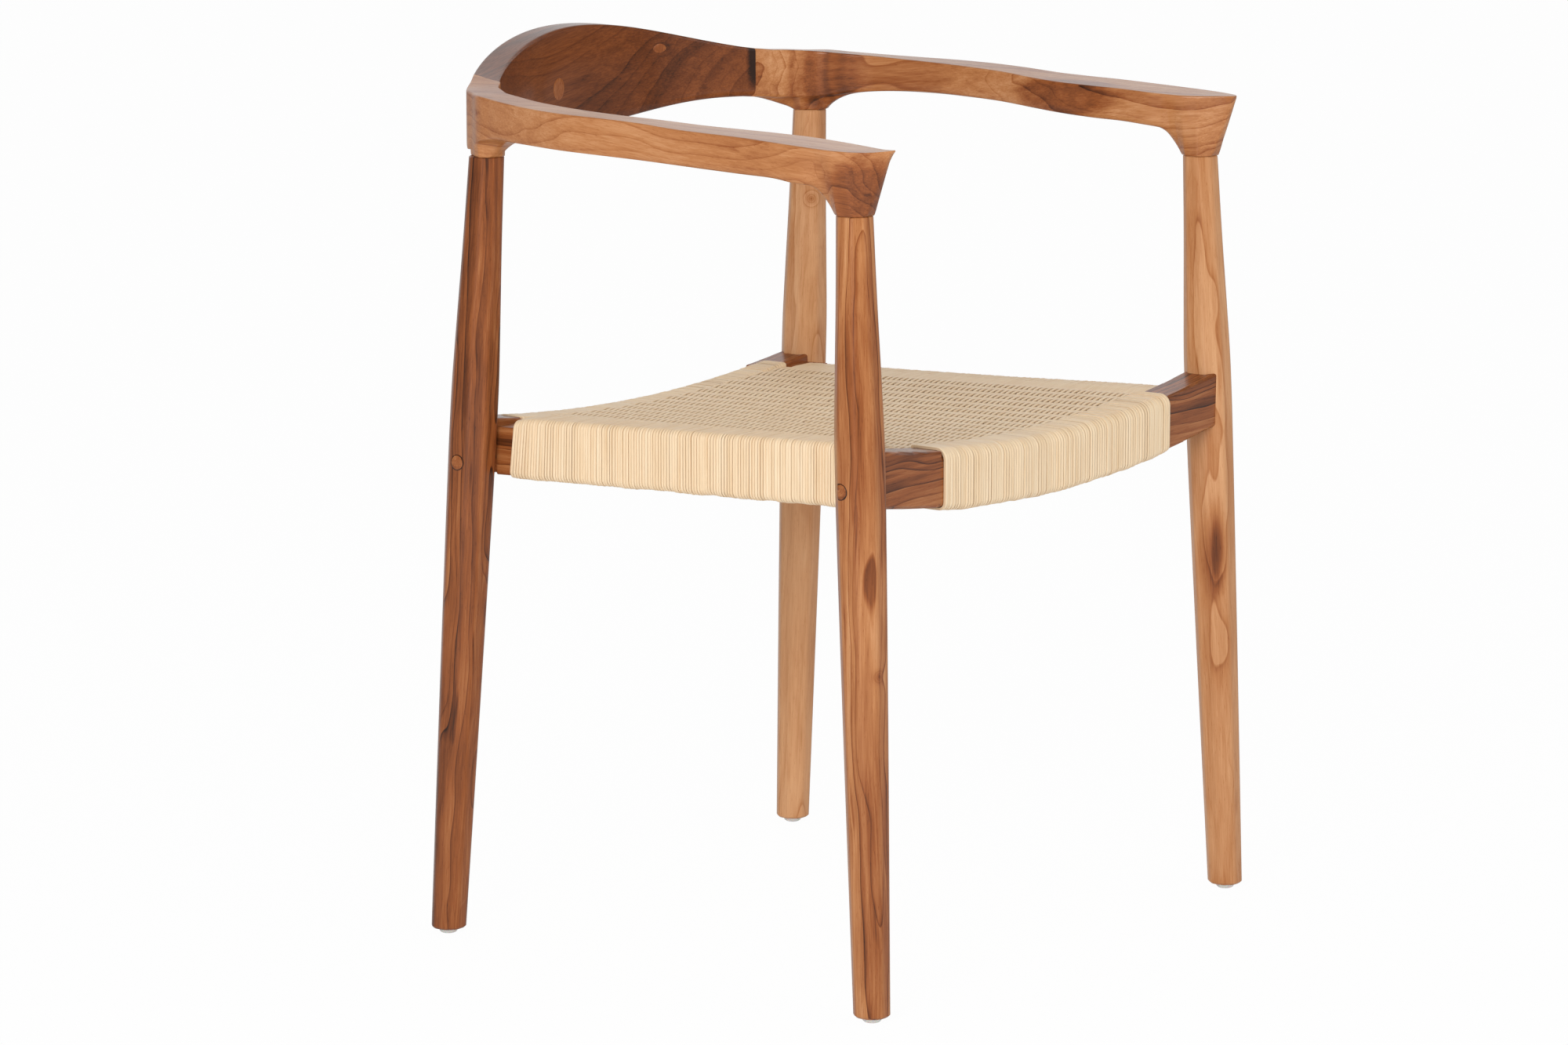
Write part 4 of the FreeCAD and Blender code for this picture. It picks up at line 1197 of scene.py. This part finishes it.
def inlay(run, level, half_length, half_height, power=2.0):
    """A filler let into the inner face of the backrest, a hair proud of it. run is its middle's
    distance along the face, level its height. A power below 2 makes its rim pointed."""
    cosine, sine = np.cos(lathe_turns), np.sin(lathe_turns)
    rim_out = np.sign(cosine) * np.abs(cosine) ** (2 / power)
    rim_up = np.sign(sine) * np.abs(sine) ** (2 / power)
    rows = []
    for size, proud in ((1.0, -2.0), (1.0, 0.05), (0.97, 0.16), (0.8, 0.2), (0.5, 0.2), (0.1, 0.2)):
        angle = np.degrees((run + rim_out * half_length * size) / (back_radius - back_half))
        height = level + rim_up * half_height * size
        depth = (back_top(angle) - height) / (back_top(angle) - back_bottom(angle))
        offset = -back_half + back_taper * bell(angle, back_taper_reach) * depth - proud
        rows.append(back_point(angle, offset, height))
    return skin(np.array(rows))


filler_wood = teak("filler_wood", (-29, 250, 640), (0.1, 0.3, 1), 0.6, 2.2, 0.14, 0.1, 0.1, 3.0)
points, faces = inlay(-29.0, 699.0, 8.5, 9.6)
make_piece("left_filler", points, faces, filler_wood, "left_plug")
points, faces = inlay(98.0, 725.5, 7.0, 4.2, 1.7)
make_piece("right_filler", points, faces, filler_wood, "right_plug")


# The studio. A wide pale floor with no edge in view, an even white surround, and two large soft
# lamps. The camera has the photograph's view, from in front of the chair's left side.

floor_half = 30.0
floor_finish = Finish("floor", Base_Color=colour(244, 244, 244), Roughness=0.9)
seen = floor_finish.node("ShaderNodeLightPath", {}, {}, "Is Camera Ray")
glow = floor_finish.node("ShaderNodeEmission", {}, {"Color": (1.0, 1.0, 1.0, 1.0), "Strength": 1.0})
lit_floor = floor_finish.node("ShaderNodeMixShader", {}, {
    0: seen * 0.97, 1: Wire(floor_finish, floor_finish.surface.outputs[0]), 2: glow})
floor_finish.tree.links.new(lit_floor.socket, floor_finish.tree.nodes["Material Output"].inputs["Surface"])
floor_mesh = bpy.data.meshes.new("floor")
floor_mesh.from_pydata([(-floor_half, -floor_half, 0), (floor_half, -floor_half, 0),
                        (floor_half, floor_half, 0), (-floor_half, floor_half, 0)], [], [(0, 1, 2, 3)])
floor_mesh.materials.append(floor_finish.material)
floor = bpy.data.objects.new("floor", floor_mesh)
bpy.context.scene.collection.objects.link(floor)

# The surround is dimmer behind the chair where glossy wood would mirror it
surround = bpy.data.worlds.new("surround")
surround.use_nodes = True
sky = Nodes(surround.node_tree)
looking = sky.node("ShaderNodeLightPath", {}, {}, "Is Camera Ray")
mirrored_ray = looking.other("Is Glossy Ray")
facing_away = sky.node("ShaderNodeVectorMath", {"operation": "DOT_PRODUCT"}, {
    0: sky.node("ShaderNodeTexCoord", {}, {}, "Generated"), 1: (0.81, 0.585, 0.0)}, "Value")
behind = sky.fade(facing_away, 0.45, 0.85)
level = looking * 0.5 + mirrored_ray * (behind * 0.85 - 0.35) + 0.5
background = sky.tree.nodes["Background"]
background.inputs["Color"].default_value = (1.0, 1.0, 1.0, 1.0)
sky.tree.links.new(level.socket, background.inputs["Strength"])
bpy.context.scene.world = surround


def lamp(name, place, aim, size, watts):
    light = bpy.data.lights.new(name, "AREA")
    light.shape = "SQUARE"
    light.size = size
    light.energy = watts
    holder = bpy.data.objects.new(name, light)
    bpy.context.scene.collection.objects.link(holder)
    holder.location = place
    holder.rotation_euler = (holder.location - Vector(aim)).to_track_quat("Z", "Y").to_euler()


lamp("key_lamp", (-3.2, -1.3, 1.7), (0, 0, 0.45), 1.8, 75)
lamp("fill_lamp", (0.2, -3.2, 1.6), (0, 0, 0.45), 2.0, 20)

# The camera's place on the drawing, its lens, and the angles at which it looks below the horizon
# and to the right of straight back
camera_place = (-3722.06, -2640.99, 1177.46)
lens_length = 124.74
look_down = 10.373
look_right = 54.08
view = bpy.data.cameras.new("view")
view.lens = lens_length
view.sensor_width = 36.0
view.sensor_fit = "HORIZONTAL"
view.clip_end = 100.0
camera = bpy.data.objects.new("view", view)
bpy.context.scene.collection.objects.link(camera)
camera.location = spot(camera_place)
camera.rotation_euler = (math.radians(90 - look_down), 0, math.radians(-look_right))
bpy.context.scene.camera = camera
bpy.context.scene.view_settings.view_transform = "Standard"
